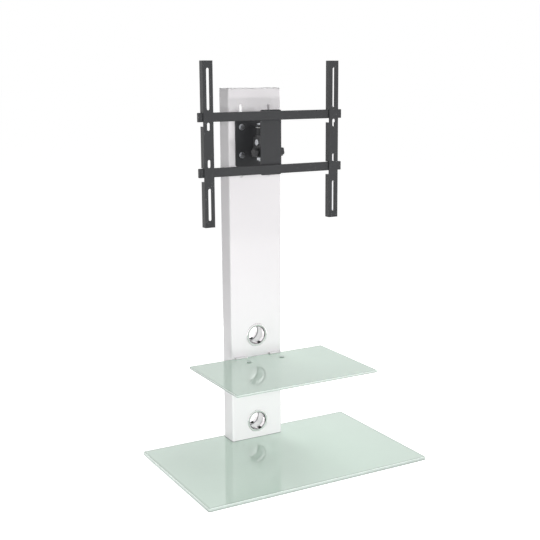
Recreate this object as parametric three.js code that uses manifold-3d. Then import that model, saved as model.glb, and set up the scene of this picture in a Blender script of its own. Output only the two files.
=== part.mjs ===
// Pedestal TV stand: a glass base, a steel column with cable rings, a glass shelf and
// a TV mount that slides in height, swivels, tilts and spreads its two arms.
// Millimetres, +Z up, the front faces -Y, origin on the floor under the middle of the base.
import * as THREE from "three";
import { mergeVertices } from "three/addons/utils/BufferGeometryUtils.js";
import Module from "manifold-3d";

const wasm = await Module();
wasm.setup();

// Fits used all over the stand
const SEAT_GAP = 0.1;
const FIT_GAP = 0.3;
const CUT_OVERRUN = 1;
const MERGE_TOLERANCE = 1e-4;

// Glass base and what clamps the column to it
const BASE_WIDTH = 700;
const BASE_DEPTH = 450;
const BASE_GLASS = 10;
const GLASS_CORNER = 4;
const GLASS_ARRIS = 1;
const FOOT_HEIGHT = 12;
const FOOT_RADIUS = 17;
const FOOT_BEVEL = 1.5;
const FOOT_INSET = 55;
const GASKET = 1.5;
const CLAMP_WIDTH = 190;
const CLAMP_DEPTH = 100;
const CLAMP_PLATE = 4;
const CLAMP_CORNER = 8;
const CLAMP_REAR_INSET = 8;
const BASE_BOLT_RADIUS = 4;
const BASE_BOLT_SPREAD_X = 110;
const BASE_BOLT_SPREAD_Y = 20;
const BASE_BOLT_HEAD_RADIUS = 7;
const BASE_BOLT_HEAD = 3.4;
const BASE_BOLT_EDGE = 1;
const BASE_BOLT_PAST = 3;
const COLLAR_WALL = 1.5;

// Column
const COLUMN_WIDTH = 170;
const COLUMN_DEPTH = 59;
const COLUMN_SETBACK = 8;
const COLUMN_TOP = 1080;
const COLUMN_WALL = 2;
const COLUMN_CORNER = 5;
const REAR_LIP = 12;
const FOOT_PLATE = 8;
const CAP_PLATE = 3;
const CAP_PLUG = 10;
const CAP_PLUG_WALL = 2;
const COVER_WALL = 2.5;
const COVER_RIB = 2;
const COVER_RIB_DEPTH = 8;
const CABLE_ENTRY_HEIGHT = 60;

// Cable rings in the column, heights measured from the top of the base glass
const LOWER_RING_HEIGHT = 54;
const UPPER_RING_HEIGHT = 326;
const RING_FLANGE_RADIUS = 34.5;
const RING_SLEEVE_RADIUS = 30;
const RING_BORE_RADIUS = 26;
const RING_PROUD = 2;
const RING_RIM = 0.8;
const RING_DEPTH = 12;
const RING_MOUTH = 2.4;

// Glass shelf and its two clamps
const SHELF_WIDTH = 454;
const SHELF_DEPTH = 307;
const SHELF_GLASS = 6;
const SHELF_HEIGHT = 262;
const SHELF_SETBACK = 2;
const BRACKET_WIDTH = 37;
const BRACKET_SPREAD = 114;
const BRACKET_LIP = 4.2;
const BRACKET_OVERLAP = 11;
const BRACKET_REACH = 72;
const BRACKET_ROOT = 14;
const BRACKET_TIP = 6;
const SHELF_PAD = 1.5;
const SHELF_BOLT_SPREAD = 112;
const SHELF_BOLT_REACH = 56;
const SHELF_BOLT_RADIUS = 3;
const SHELF_BOLT_CAP_RADIUS = 7;
const SHELF_BOLT_CAP = 2.5;
const SHELF_BOLT_EDGE = 1;
const BRACKET_SCREW_RADIUS = 3;
const BRACKET_SCREW_SPREAD = 20;
const BRACKET_SCREW_LENGTH = 16;
const BRACKET_SCREW_HEAD_RADIUS = 5;
const BRACKET_SCREW_HEAD = 6;

// Carriage that slides on the front of the column
const MOUNT_HEIGHT = 930;
const LIFT_TRAVEL = 60;
const CARRIAGE_WIDTH = 130;
const CARRIAGE_HEIGHT = 150;
const CARRIAGE_PLATE = 4;
const CARRIAGE_CORNER = 8;
const CARRIAGE_BOLT_RADIUS = 4;
const CARRIAGE_BOLT_SPREAD_X = 90;
const CARRIAGE_BOLT_SPREAD_Z = 80;
const CARRIAGE_BOLT_FLANGE_RADIUS = 9;
const CARRIAGE_BOLT_FLANGE = 1.4;
const CARRIAGE_BOLT_HEX_RADIUS = 7.5;
const CARRIAGE_BOLT_HEX = 5;
const CARRIAGE_BOLT_PAST = 4;
const CLAMP_BAR_WIDTH = 22;
const CLAMP_BAR_HEIGHT = 110;
const CLAMP_BAR = 6;
const CLAMP_BAR_CORNER = 4;

// Swivel
const PIVOT_REACH = 32;
const PIVOT_RADIUS = 6;
const LUG_PLATE = 6;
const LUG_CLEARANCE = 4;
const LUG_RADIUS = 17;
const BARREL_RADIUS = 13;
const SWIVEL_WASHER = 2;
const PIN_HEAD_RADIUS = 10;
const PIN_HEAD = 5;
const PIN_BEVEL = 1.5;
const NUT_RADIUS = 11;
const NUT_HEIGHT = 8;
const PIN_PAST = 3;

// Tilt
const TILT_REACH = 45;
const HEAD_WIDTH = 60;
const HEAD_PLATE = 4;
const HEAD_BARREL_BITE = 1;
const CHEEK_RADIUS = 14;
const LOCK_DROP = 28;
const LOCK_BOSS_RADIUS = 8;
const TILT_BOLT_RADIUS = 5;
const TILT_BOLT_HEAD_RADIUS = 9;
const TILT_BOLT_HEAD = 4;
const TILT_BOLT_BEVEL = 1;
const LOCK_SHANK_RADIUS = 3;
const KNOB_RADIUS = 13;
const KNOB_LOBE_DEPTH = 2.4;
const KNOB_THICKNESS = 11;
const KNOB_NECK_RADIUS = 7;
const KNOB_NECK = 3;
const SHANK_PAST = 3;
const TILT_PLATE = 3;
const TILT_PLATE_REACH = 16;
const TILT_PLATE_HEIGHT = 182;
const TILT_CORNER = 5;
const EAR_TOP = 20;
const EAR_BOTTOM = 40;
const EAR_REAR = 13;
const EAR_CORNER = 6;
const SLOT_PLAY = 0.2;
const TILT_DOWN_LIMIT = THREE.MathUtils.degToRad(12);
const TILT_UP_LIMIT = THREE.MathUtils.degToRad(5);

// Rails and TV arms
const RAIL_SPREAD = 150;
const RAIL_LENGTH = 450;
const RAIL_HEIGHT = 25;
const RAIL_DEPTH = 10;
const RAIL_WALL = 1.5;
const RAIL_CORNER = 2;
const RAIL_CAP = 2.5;
const RAIL_CAP_PLUG = 10;
const ARM_SPREAD = 400;
const ARM_HEIGHT = 450;
const ARM_WIDTH = 30;
const ARM_DEPTH = 20;
const ARM_WALL = 2.5;
const ARM_CLEARANCE = 1;
const ARM_LIFT = 12;
const HOOK_DROP = 10;
const TV_SLOT_WIDTH = 8.5;
const TV_INNER_SLOT_HEIGHT = 50;
const TV_INNER_SLOT_LENGTH = 22;
const TV_OUTER_SLOT_HEIGHT = 150;
const TV_OUTER_SLOT_LENGTH = 112;
const TV_SLOT_CLEARANCE = 6;
const TAB_PLATE = 3;
const ARM_SCREW_RADIUS = 3;
const ARM_SCREW_HEAD_RADIUS = 8;
const ARM_SCREW_HEAD = 9;
const ARM_SCREW_BEVEL = 1;

// Facets of round pieces
const CORNER_STEPS = 3;
const HOLE_STEPS = 12;
const TURNED_STEPS = 16;
const RING_STEPS = 32;
const RING_CURL_STEPS = 3;
const HEX_SIDES = 6;
const KNOB_LOBES = 5;
const KNOB_STEPS = 30;
const SIDES = [-1, 1];
const SIDE_NAMES = ["left", "right"];

// Places worked out from the sizes
const BASE_TOP = FOOT_HEIGHT + BASE_GLASS;
const COLUMN_BOTTOM = BASE_TOP + GASKET + 2 * SEAT_GAP;
const COLUMN_BACK = BASE_DEPTH / 2 - COLUMN_SETBACK;
const COLUMN_FRONT = COLUMN_BACK - COLUMN_DEPTH;
const COLUMN_MIDDLE = COLUMN_BACK - COLUMN_DEPTH / 2;
const SHELL_TOP = COLUMN_TOP - CAP_PLATE - SEAT_GAP;
const COVER_TOP = SHELL_TOP - CAP_PLUG - CABLE_ENTRY_HEIGHT;
const FOOT_PLATE_TOP = COLUMN_BOTTOM + FOOT_PLATE;
const RING_HEIGHTS = [BASE_TOP + LOWER_RING_HEIGHT, BASE_TOP + UPPER_RING_HEIGHT];
const SHELF_BOTTOM = BASE_TOP + SHELF_HEIGHT - SHELF_GLASS;
const BASE_BOLT_PLACES = gridPlaces(BASE_BOLT_SPREAD_X, BASE_BOLT_SPREAD_Y);
const CARRIAGE_BOLT_PLACES = gridPlaces(CARRIAGE_BOLT_SPREAD_X, CARRIAGE_BOLT_SPREAD_Z);
const BRACKET_ARM_TOP = -SHELF_PAD - 2 * SEAT_GAP;
const LUG_SPACE = 2 * (LOCK_DROP + LOCK_BOSS_RADIUS + LUG_CLEARANCE);
const BRACKET_SCREW_DROP = BRACKET_ARM_TOP - BRACKET_ROOT / 2;

// Outlines

function gridPlaces(spreadX, spreadY) {
  return SIDES.flatMap((sideY) =>
    SIDES.map((sideX) => new THREE.Vector2((sideX * spreadX) / 2, (sideY * spreadY) / 2)),
  );
}

function arc(x, y, radius, from, to, steps) {
  return Array.from({ length: steps + 1 }, (_, i) => {
    const angle = from + ((to - from) * i) / steps;
    return new THREE.Vector2(x + radius * Math.cos(angle), y + radius * Math.sin(angle));
  });
}

function circle(x, y, radius, steps = HOLE_STEPS) {
  return arc(x, y, radius, 0, 2 * Math.PI, steps).slice(0, -1);
}

function roundedRect(width, height, radius, x = 0, y = 0) {
  const right = width / 2 - radius;
  const top = height / 2 - radius;
  const quarter = Math.PI / 2;
  return [
    ...arc(x + right, y + top, radius, 0, quarter, CORNER_STEPS),
    ...arc(x - right, y + top, radius, quarter, 2 * quarter, CORNER_STEPS),
    ...arc(x - right, y - top, radius, 2 * quarter, 3 * quarter, CORNER_STEPS),
    ...arc(x + right, y - top, radius, 3 * quarter, 4 * quarter, CORNER_STEPS),
  ];
}

function uprightSlot(x, y, width, length) {
  const straight = length / 2 - width / 2;
  return [
    ...arc(x, y + straight, width / 2, 0, Math.PI, HOLE_STEPS / 2),
    ...arc(x, y - straight, width / 2, Math.PI, 2 * Math.PI, HOLE_STEPS / 2),
  ];
}

function point(x, y) {
  return new THREE.Vector2(x, y);
}

// Solids from outlines

// A sheet of the given thickness lying on z = 0, with its holes and, for glass, its ground arrises.
function sheet(outline, thickness, holes = [], arris = 0) {
  const shape = new THREE.Shape(outline);
  shape.holes = holes.map((hole) => new THREE.Path(hole));
  const geometry = new THREE.ExtrudeGeometry(shape, {
    depth: thickness - 2 * arris,
    steps: 1,
    bevelEnabled: arris > 0,
    bevelThickness: arris,
    bevelSize: arris,
    bevelOffset: -arris,
    bevelSegments: 1,
  });
  return geometry.translate(0, 0, arris);
}

function turnedAxes(x, y, z) {
  return new THREE.Matrix4().makeBasis(
    new THREE.Vector3(...x),
    new THREE.Vector3(...y),
    new THREE.Vector3(...z),
  );
}

// Stands a sheet up with its drawn Y as height, its thickness running from y = 0 to the front.
function facingFront(geometry) {
  return geometry.applyMatrix4(turnedAxes([1, 0, 0], [0, 0, 1], [0, -1, 0]));
}

// Stands a sheet up as a side view: drawn X is depth, drawn Y is height, thickness runs along X.
function facingSide(geometry) {
  return geometry.applyMatrix4(turnedAxes([0, 1, 0], [0, 0, 1], [1, 0, 0]));
}

function turned(profile, steps = TURNED_STEPS) {
  return new THREE.LatheGeometry(profile, steps).rotateX(Math.PI / 2);
}

function rod(radius, from, to, steps = HOLE_STEPS) {
  return turned([point(0, from), point(radius, from), point(radius, to), point(0, to)], steps);
}

function block(width, depth, height, x = 0, y = 0, z = 0) {
  return new THREE.BoxGeometry(width, depth, height).translate(x, y, z);
}

function toSolid(geometry) {
  const bare = geometry.clone();
  bare.deleteAttribute("normal");
  bare.deleteAttribute("uv");
  const merged = mergeVertices(bare, MERGE_TOLERANCE);
  const mesh = new wasm.Mesh({
    numProp: 3,
    vertProperties: merged.attributes.position.array,
    triVerts: new Uint32Array(merged.index.array),
  });
  return new wasm.Manifold(mesh);
}

function toGeometry(solid) {
  const mesh = solid.getMesh();
  const geometry = new THREE.BufferGeometry();
  geometry.setAttribute("position", new THREE.BufferAttribute(mesh.vertProperties, 3));
  geometry.setIndex(new THREE.BufferAttribute(mesh.triVerts, 1));
  const facets = geometry.toNonIndexed();
  facets.computeVertexNormals();
  return facets;
}

function join(...geometries) {
  return toGeometry(geometries.map(toSolid).reduce((whole, piece) => whole.add(piece)));
}

function cut(geometry, ...cutters) {
  return toGeometry(cutters.map(toSolid).reduce((whole, tool) => whole.subtract(tool), toSolid(geometry)));
}

// Materials

function material(color, roughness, metalness, extra = {}) {
  return new THREE.MeshStandardMaterial({ color, roughness, metalness, ...extra });
}

const finishes = {
  satinGlass: () => material(0xc6d8cc, 0.12, 0, { transparent: true, opacity: 0.96 }),
  whiteSteel: () => material(0xf2f2f4, 0.35, 0),
  whitePlastic: () => material(0xeeeef0, 0.5, 0),
  blackSteel: () => material(0x1c1d1f, 0.55, 0),
  blackPlastic: () => material(0x18181a, 0.6, 0),
  darkCap: () => material(0x4a4f4d, 0.4, 0),
  chrome: () => material(0xe8e8ea, 0.06, 1),
  zinc: () => material(0xb9bcc0, 0.35, 1),
  rubber: () => material(0x2b2b2c, 0.9, 0),
  nylon: () => material(0xe4e2da, 0.5, 0),
};

function piece(name, geometry, finish, x = 0, y = 0, z = 0) {
  const mesh = new THREE.Mesh(geometry, finishes[finish]());
  mesh.name = name;
  mesh.position.set(x, y, z);
  return mesh;
}

// Base: glass on four feet, with the column's clamp plate and bolts under it

function baseGlass() {
  const collarRadius = BASE_BOLT_RADIUS + FIT_GAP + COLLAR_WALL;
  const holes = BASE_BOLT_PLACES.map((p) => circle(p.x, COLUMN_MIDDLE + p.y, collarRadius + FIT_GAP));
  const outline = roundedRect(BASE_WIDTH, BASE_DEPTH, GLASS_CORNER);
  return sheet(outline, BASE_GLASS, holes, GLASS_ARRIS);
}

function clampOutline() {
  const middle = BASE_DEPTH / 2 - CLAMP_REAR_INSET - CLAMP_DEPTH / 2;
  return roundedRect(CLAMP_WIDTH, CLAMP_DEPTH, CLAMP_CORNER, 0, middle);
}

function baseBoltHoles(y) {
  return BASE_BOLT_PLACES.map((p) => circle(p.x, y + p.y, BASE_BOLT_RADIUS + FIT_GAP));
}

// The lower gasket has a collar round each bolt that keeps the steel off the glass.
function lowerGasket() {
  const pad = sheet(clampOutline(), GASKET, baseBoltHoles(COLUMN_MIDDLE));
  const inner = BASE_BOLT_RADIUS + FIT_GAP;
  const collars = BASE_BOLT_PLACES.map((p) => {
    const ring = sheet(circle(0, 0, inner + COLLAR_WALL), GASKET + BASE_GLASS, [circle(0, 0, inner)]);
    return ring.translate(p.x, COLUMN_MIDDLE + p.y, 0);
  });
  return join(pad, ...collars);
}

function baseBolt(length) {
  return turned([
    point(0, -BASE_BOLT_HEAD),
    point(BASE_BOLT_HEAD_RADIUS - BASE_BOLT_EDGE, -BASE_BOLT_HEAD),
    point(BASE_BOLT_HEAD_RADIUS, -BASE_BOLT_HEAD + BASE_BOLT_EDGE),
    point(BASE_BOLT_HEAD_RADIUS, 0),
    point(BASE_BOLT_RADIUS, 0),
    point(BASE_BOLT_RADIUS, length),
    point(0, length),
  ]);
}

function foot() {
  const height = FOOT_HEIGHT - SEAT_GAP;
  return turned([
    point(0, 0),
    point(FOOT_RADIUS - FOOT_BEVEL, 0),
    point(FOOT_RADIUS, FOOT_BEVEL),
    point(FOOT_RADIUS, height - FOOT_BEVEL),
    point(FOOT_RADIUS - FOOT_BEVEL, height),
    point(0, height),
  ]);
}

function makeBase() {
  const group = new THREE.Group();
  const gasketBottom = FOOT_HEIGHT - SEAT_GAP - GASKET;
  const plateBottom = gasketBottom - SEAT_GAP - CLAMP_PLATE;
  const boltSeat = plateBottom - SEAT_GAP;
  const boltLength = FOOT_PLATE_TOP + BASE_BOLT_PAST - boltSeat;
  const columnGasket = sheet(
    roundedRect(COLUMN_WIDTH, COLUMN_DEPTH, COLUMN_CORNER),
    GASKET,
    baseBoltHoles(0),
  );
  const clampPlate = sheet(clampOutline(), CLAMP_PLATE, baseBoltHoles(COLUMN_MIDDLE));
  group.add(
    piece("base_glass", baseGlass(), "satinGlass", 0, 0, FOOT_HEIGHT),
    piece("column_gasket", columnGasket, "rubber", 0, COLUMN_MIDDLE, BASE_TOP + SEAT_GAP),
    piece("base_gasket", lowerGasket(), "rubber", 0, 0, gasketBottom),
    piece("base_clamp_plate", clampPlate, "zinc", 0, 0, plateBottom),
  );
  BASE_BOLT_PLACES.forEach((p, i) => {
    const name = `base_bolt_${i + 1}`;
    group.add(piece(name, baseBolt(boltLength), "zinc", p.x, COLUMN_MIDDLE + p.y, boltSeat));
  });
  const footX = BASE_WIDTH / 2 - FOOT_INSET;
  const footY = BASE_DEPTH / 2 - FOOT_INSET;
  SIDES.forEach((side, i) => {
    group.add(
      piece(`foot_front_${SIDE_NAMES[i]}`, foot(), "rubber", side * footX, -footY, 0),
      piece(`foot_rear_${SIDE_NAMES[i]}`, foot(), "rubber", side * footX, footY, 0),
    );
  });
  return group;
}

// Column: a folded channel open at the back, its foot plate, cap, rear cover and cable rings

// The channel's section, with the front at the bottom: walls, rounded folds and two rear lips.
function channelSection() {
  const halfWidth = COLUMN_WIDTH / 2;
  const halfDepth = COLUMN_DEPTH / 2;
  const innerCorner = COLUMN_CORNER - COLUMN_WALL;
  const foldX = halfWidth - COLUMN_CORNER;
  const foldY = halfDepth - COLUMN_CORNER;
  const lipX = halfWidth - REAR_LIP;
  const quarter = Math.PI / 2;
  const outer = [
    point(lipX, halfDepth),
    ...arc(-foldX, foldY, COLUMN_CORNER, quarter, 2 * quarter, CORNER_STEPS),
    ...arc(-foldX, -foldY, COLUMN_CORNER, 2 * quarter, 3 * quarter, CORNER_STEPS),
    ...arc(foldX, -foldY, COLUMN_CORNER, 3 * quarter, 4 * quarter, CORNER_STEPS),
    ...arc(foldX, foldY, COLUMN_CORNER, 0, quarter, CORNER_STEPS),
  ].slice(1);
  const inner = [
    ...arc(foldX, foldY, innerCorner, quarter, 0, CORNER_STEPS),
    ...arc(foldX, -foldY, innerCorner, 4 * quarter, 3 * quarter, CORNER_STEPS),
    ...arc(-foldX, -foldY, innerCorner, 3 * quarter, 2 * quarter, CORNER_STEPS),
    ...arc(-foldX, foldY, innerCorner, 2 * quarter, quarter, CORNER_STEPS),
  ];
  return [
    point(-lipX, halfDepth),
    ...outer,
    point(lipX, halfDepth),
    point(lipX, halfDepth - COLUMN_WALL),
    ...inner,
    point(-lipX, halfDepth - COLUMN_WALL),
  ];
}

// A cutter through the column's front wall, drawn in X and height.
function frontCutter(outline) {
  const cutter = facingFront(sheet(outline, COLUMN_WALL + 2 * CUT_OVERRUN));
  return cutter.translate(0, -COLUMN_DEPTH / 2 + COLUMN_WALL + CUT_OVERRUN, 0);
}

function columnShell() {
  const slotWidth = 2 * (CARRIAGE_BOLT_RADIUS + FIT_GAP);
  const slotLength = CARRIAGE_BOLT_SPREAD_Z + 2 * LIFT_TRAVEL + slotWidth;
  const screwHeight = SHELF_BOTTOM + BRACKET_SCREW_DROP - COLUMN_BOTTOM;
  const cutters = [
    ...RING_HEIGHTS.map((z) => circle(0, z - COLUMN_BOTTOM, RING_SLEEVE_RADIUS + FIT_GAP, RING_STEPS)),
    ...SIDES.map((side) =>
      uprightSlot(
        (side * CARRIAGE_BOLT_SPREAD_X) / 2,
        MOUNT_HEIGHT - COLUMN_BOTTOM,
        slotWidth,
        slotLength,
      ),
    ),
    ...bracketScrewPlaces().map((x) => circle(x, screwHeight, BRACKET_SCREW_RADIUS + FIT_GAP)),
  ].map(frontCutter);
  return cut(sheet(channelSection(), SHELL_TOP - COLUMN_BOTTOM), ...cutters);
}

function footPlate() {
  const depth = COLUMN_DEPTH - COLUMN_WALL - COVER_WALL - 2 * FIT_GAP;
  const width = COLUMN_WIDTH - 2 * COLUMN_WALL - 2 * FIT_GAP;
  const middle = (COVER_WALL - COLUMN_WALL) / 2;
  const outline = roundedRect(width, depth, COLUMN_CORNER - COLUMN_WALL, 0, -middle);
  return sheet(outline, FOOT_PLATE, baseBoltHoles(0));
}

function columnCap() {
  const plugWidth = COLUMN_WIDTH - 2 * COLUMN_WALL - 2 * FIT_GAP;
  const plugDepth = COLUMN_DEPTH - 2 * COLUMN_WALL - 2 * FIT_GAP;
  const plugCorner = COLUMN_CORNER - COLUMN_WALL;
  const top = sheet(roundedRect(COLUMN_WIDTH, COLUMN_DEPTH, COLUMN_CORNER), CAP_PLATE);
  const hollow = roundedRect(
    plugWidth - 2 * CAP_PLUG_WALL,
    plugDepth - 2 * CAP_PLUG_WALL,
    plugCorner / 2,
  );
  const plug = sheet(roundedRect(plugWidth, plugDepth, plugCorner), CAP_PLUG + CAP_PLATE / 2, [hollow]);
  return join(top, plug.translate(0, 0, -CAP_PLUG));
}

// The cover lies flush between the lips, and two ribs guide it between them.
function rearCover() {
  const width = COLUMN_WIDTH - 2 * REAR_LIP - 2 * FIT_GAP;
  const bottom = COLUMN_BOTTOM + FIT_GAP;
  const height = COVER_TOP - bottom;
  const outline = [
    point(-width / 2, bottom),
    point(width / 2, bottom),
    point(width / 2, COVER_TOP),
    point(-width / 2, COVER_TOP),
  ];
  const holes = RING_HEIGHTS.map((z) => circle(0, z, RING_SLEEVE_RADIUS + FIT_GAP, RING_STEPS));
  const panel = facingFront(sheet(outline, COVER_WALL, holes));
  const ribBottom = FOOT_PLATE_TOP + BASE_BOLT_PAST + FIT_GAP;
  const ribs = SIDES.map((side) =>
    block(
      COVER_RIB,
      COVER_RIB_DEPTH,
      bottom + height - ribBottom,
      (side * (width - COVER_RIB)) / 2,
      -COVER_WALL / 2 - COVER_RIB_DEPTH / 2,
      (ribBottom + COVER_TOP) / 2,
    ),
  );
  return join(panel, ...ribs);
}

// A cable ring: a flange that curls over its outer face into a sleeve, axis towards its outer face.
function cableRing() {
  const curlRadius = RING_MOUTH;
  const curl = arc(
    RING_BORE_RADIUS + curlRadius,
    RING_PROUD - curlRadius,
    curlRadius,
    Math.PI / 2,
    Math.PI,
    RING_CURL_STEPS,
  );
  const profile = [
    point(RING_BORE_RADIUS, -RING_DEPTH),
    point(RING_SLEEVE_RADIUS, -RING_DEPTH),
    point(RING_SLEEVE_RADIUS, SEAT_GAP),
    point(RING_FLANGE_RADIUS, SEAT_GAP),
    point(RING_FLANGE_RADIUS, RING_RIM),
    point(RING_FLANGE_RADIUS - RING_PROUD + RING_RIM, RING_PROUD),
    ...curl,
    point(RING_BORE_RADIUS, -RING_DEPTH),
  ];
  return turned(profile, RING_STEPS);
}

function makeColumn() {
  const group = new THREE.Group();
  group.position.y = COLUMN_MIDDLE;
  group.add(
    piece("column_shell", columnShell(), "whiteSteel", 0, 0, COLUMN_BOTTOM),
    piece("column_foot_plate", footPlate(), "zinc", 0, 0, COLUMN_BOTTOM),
    piece("column_cap", columnCap(), "whitePlastic", 0, 0, COLUMN_TOP - CAP_PLATE),
    piece("rear_cover", rearCover(), "whitePlastic", 0, COLUMN_DEPTH / 2, 0),
  );
  RING_HEIGHTS.forEach((z, i) => {
    const level = ["lower", "upper"][i];
    const front = piece(`front_ring_${level}`, cableRing(), "chrome", 0, -COLUMN_DEPTH / 2, z);
    front.rotation.x = Math.PI / 2;
    const rear = piece(`rear_ring_${level}`, cableRing(), "chrome", 0, COLUMN_DEPTH / 2, z);
    rear.rotation.x = -Math.PI / 2;
    group.add(front, rear);
  });
  return group;
}

// Shelf: a glass sheet in two clamps screwed to the column from inside.
// Depths are measured from the column's front, heights from the underside of the glass.

function bracketScrewPlaces() {
  return SIDES.flatMap((side) =>
    SIDES.map((screw) => (side * BRACKET_SPREAD + screw * BRACKET_SCREW_SPREAD) / 2),
  );
}

function shelfGlass() {
  const middle = -SHELF_SETBACK - SHELF_DEPTH / 2;
  const outline = roundedRect(SHELF_WIDTH, SHELF_DEPTH, GLASS_CORNER, 0, middle);
  const holes = SIDES.map((side) =>
    circle((side * SHELF_BOLT_SPREAD) / 2, -SHELF_BOLT_REACH, SHELF_BOLT_RADIUS + 2 * SHELF_BOLT_EDGE),
  );
  return sheet(outline, SHELF_GLASS, holes, GLASS_ARRIS);
}

// Where the bolt stands from the middle of its bracket.
function shelfBoltOffset(side) {
  return (side * (SHELF_BOLT_SPREAD - BRACKET_SPREAD)) / 2;
}

function shelfBracket(side) {
  const lipBottom = SHELF_GLASS + FIT_GAP;
  const lipTop = lipBottom + BRACKET_LIP;
  const lipFront = -SHELF_SETBACK - BRACKET_OVERLAP;
  const slotEnd = -SHELF_SETBACK + FIT_GAP;
  const armBottom = BRACKET_ARM_TOP - BRACKET_ROOT;
  const outline = [
    point(-SEAT_GAP, armBottom),
    point(-SEAT_GAP, lipTop),
    point(lipFront, lipTop),
    point(lipFront, lipBottom),
    point(slotEnd, lipBottom),
    point(slotEnd, BRACKET_ARM_TOP),
    point(-BRACKET_REACH, BRACKET_ARM_TOP),
    point(-BRACKET_REACH, BRACKET_ARM_TOP - BRACKET_TIP),
    point(lipFront, armBottom),
  ].reverse();
  const body = facingSide(sheet(outline, BRACKET_WIDTH)).translate(-BRACKET_WIDTH / 2, 0, 0);
  const boltHole = rod(SHELF_BOLT_RADIUS + FIT_GAP, armBottom - CUT_OVERRUN, CUT_OVERRUN);
  boltHole.translate(shelfBoltOffset(side), -SHELF_BOLT_REACH, 0);
  const screwHoles = SIDES.map((screw) => {
    const hole = rod(BRACKET_SCREW_RADIUS + FIT_GAP, -CUT_OVERRUN, BRACKET_SCREW_LENGTH);
    hole.rotateX(Math.PI / 2);
    return hole.translate((screw * BRACKET_SCREW_SPREAD) / 2, 0, BRACKET_SCREW_DROP);
  });
  return cut(body, boltHole, ...screwHoles);
}

function shelfPad(side) {
  const depth = BRACKET_REACH - SHELF_SETBACK - BRACKET_OVERLAP;
  const middle = -SHELF_SETBACK - BRACKET_OVERLAP - depth / 2;
  const outline = roundedRect(BRACKET_WIDTH, depth, SHELF_PAD, 0, middle);
  const hole = circle(shelfBoltOffset(side), -SHELF_BOLT_REACH, SHELF_BOLT_RADIUS + FIT_GAP);
  return sheet(outline, SHELF_PAD, [hole]);
}

function shelfBolt() {
  return turned([
    point(0, BRACKET_ARM_TOP - BRACKET_TIP - SHELF_GLASS),
    point(SHELF_BOLT_RADIUS, BRACKET_ARM_TOP - BRACKET_TIP - SHELF_GLASS),
    point(SHELF_BOLT_RADIUS, SEAT_GAP),
    point(SHELF_BOLT_CAP_RADIUS, SEAT_GAP),
    point(SHELF_BOLT_CAP_RADIUS, SHELF_BOLT_CAP - SHELF_BOLT_EDGE),
    point(SHELF_BOLT_CAP_RADIUS - SHELF_BOLT_EDGE, SHELF_BOLT_CAP),
    point(0, SHELF_BOLT_CAP),
  ]);
}

function bracketScrew() {
  const shankEnd = COLUMN_WALL + BRACKET_SCREW_LENGTH - CUT_OVERRUN;
  return turned([
    point(0, -BRACKET_SCREW_HEAD),
    point(BRACKET_SCREW_HEAD_RADIUS, -BRACKET_SCREW_HEAD),
    point(BRACKET_SCREW_HEAD_RADIUS, 0),
    point(BRACKET_SCREW_RADIUS, 0),
    point(BRACKET_SCREW_RADIUS, shankEnd),
    point(0, shankEnd),
  ]);
}

function makeShelf() {
  const group = new THREE.Group();
  group.position.set(0, COLUMN_FRONT, SHELF_BOTTOM);
  group.add(piece("shelf_glass", shelfGlass(), "satinGlass"));
  SIDES.forEach((side, i) => {
    const x = (side * BRACKET_SPREAD) / 2;
    const boltX = (side * SHELF_BOLT_SPREAD) / 2;
    group.add(
      piece(`shelf_bracket_${SIDE_NAMES[i]}`, shelfBracket(side), "whiteSteel", x),
      piece(`shelf_pad_${SIDE_NAMES[i]}`, shelfPad(side), "rubber", x, 0, BRACKET_ARM_TOP + SEAT_GAP),
      piece(`shelf_bolt_${SIDE_NAMES[i]}`, shelfBolt(), "darkCap", boltX, -SHELF_BOLT_REACH, SHELF_GLASS),
    );
  });
  bracketScrewPlaces().forEach((x, i) => {
    const headSeat = COLUMN_WALL + SEAT_GAP;
    const screw = piece(`bracket_screw_${i + 1}`, bracketScrew(), "zinc", x, headSeat, BRACKET_SCREW_DROP);
    screw.rotation.x = Math.PI / 2;
    group.add(screw);
  });
  return group;
}

// Mount carriage: a plate with two lugs for the swivel pin, bolted through the column's slots.
// The mount's depths are measured from the column's front, heights from the middle of the mount.

const LUG_OUTER = LUG_SPACE / 2 + LUG_PLATE;
const CARRIAGE_FRONT = -FIT_GAP - CARRIAGE_PLATE;

function mountCarriage() {
  const holes = CARRIAGE_BOLT_PLACES.map((p) => circle(p.x, p.y, CARRIAGE_BOLT_RADIUS + FIT_GAP));
  const outline = roundedRect(CARRIAGE_WIDTH, CARRIAGE_HEIGHT, CARRIAGE_CORNER);
  const plate = facingFront(sheet(outline, CARRIAGE_PLATE, holes)).translate(0, -FIT_GAP, 0);
  const lugRoot = CARRIAGE_FRONT + CARRIAGE_PLATE / 2;
  const lugOutline = [
    point(LUG_RADIUS, lugRoot),
    point(-LUG_RADIUS, lugRoot),
    ...arc(0, -PIVOT_REACH, LUG_RADIUS, Math.PI, 2 * Math.PI, 2 * CORNER_STEPS),
  ];
  const pinHole = circle(0, -PIVOT_REACH, PIVOT_RADIUS + FIT_GAP, TURNED_STEPS);
  const lugs = [LUG_SPACE / 2, -LUG_OUTER].map((z) =>
    sheet(lugOutline, LUG_PLATE, [pinHole]).translate(0, 0, z),
  );
  return join(plate, ...lugs);
}

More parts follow.
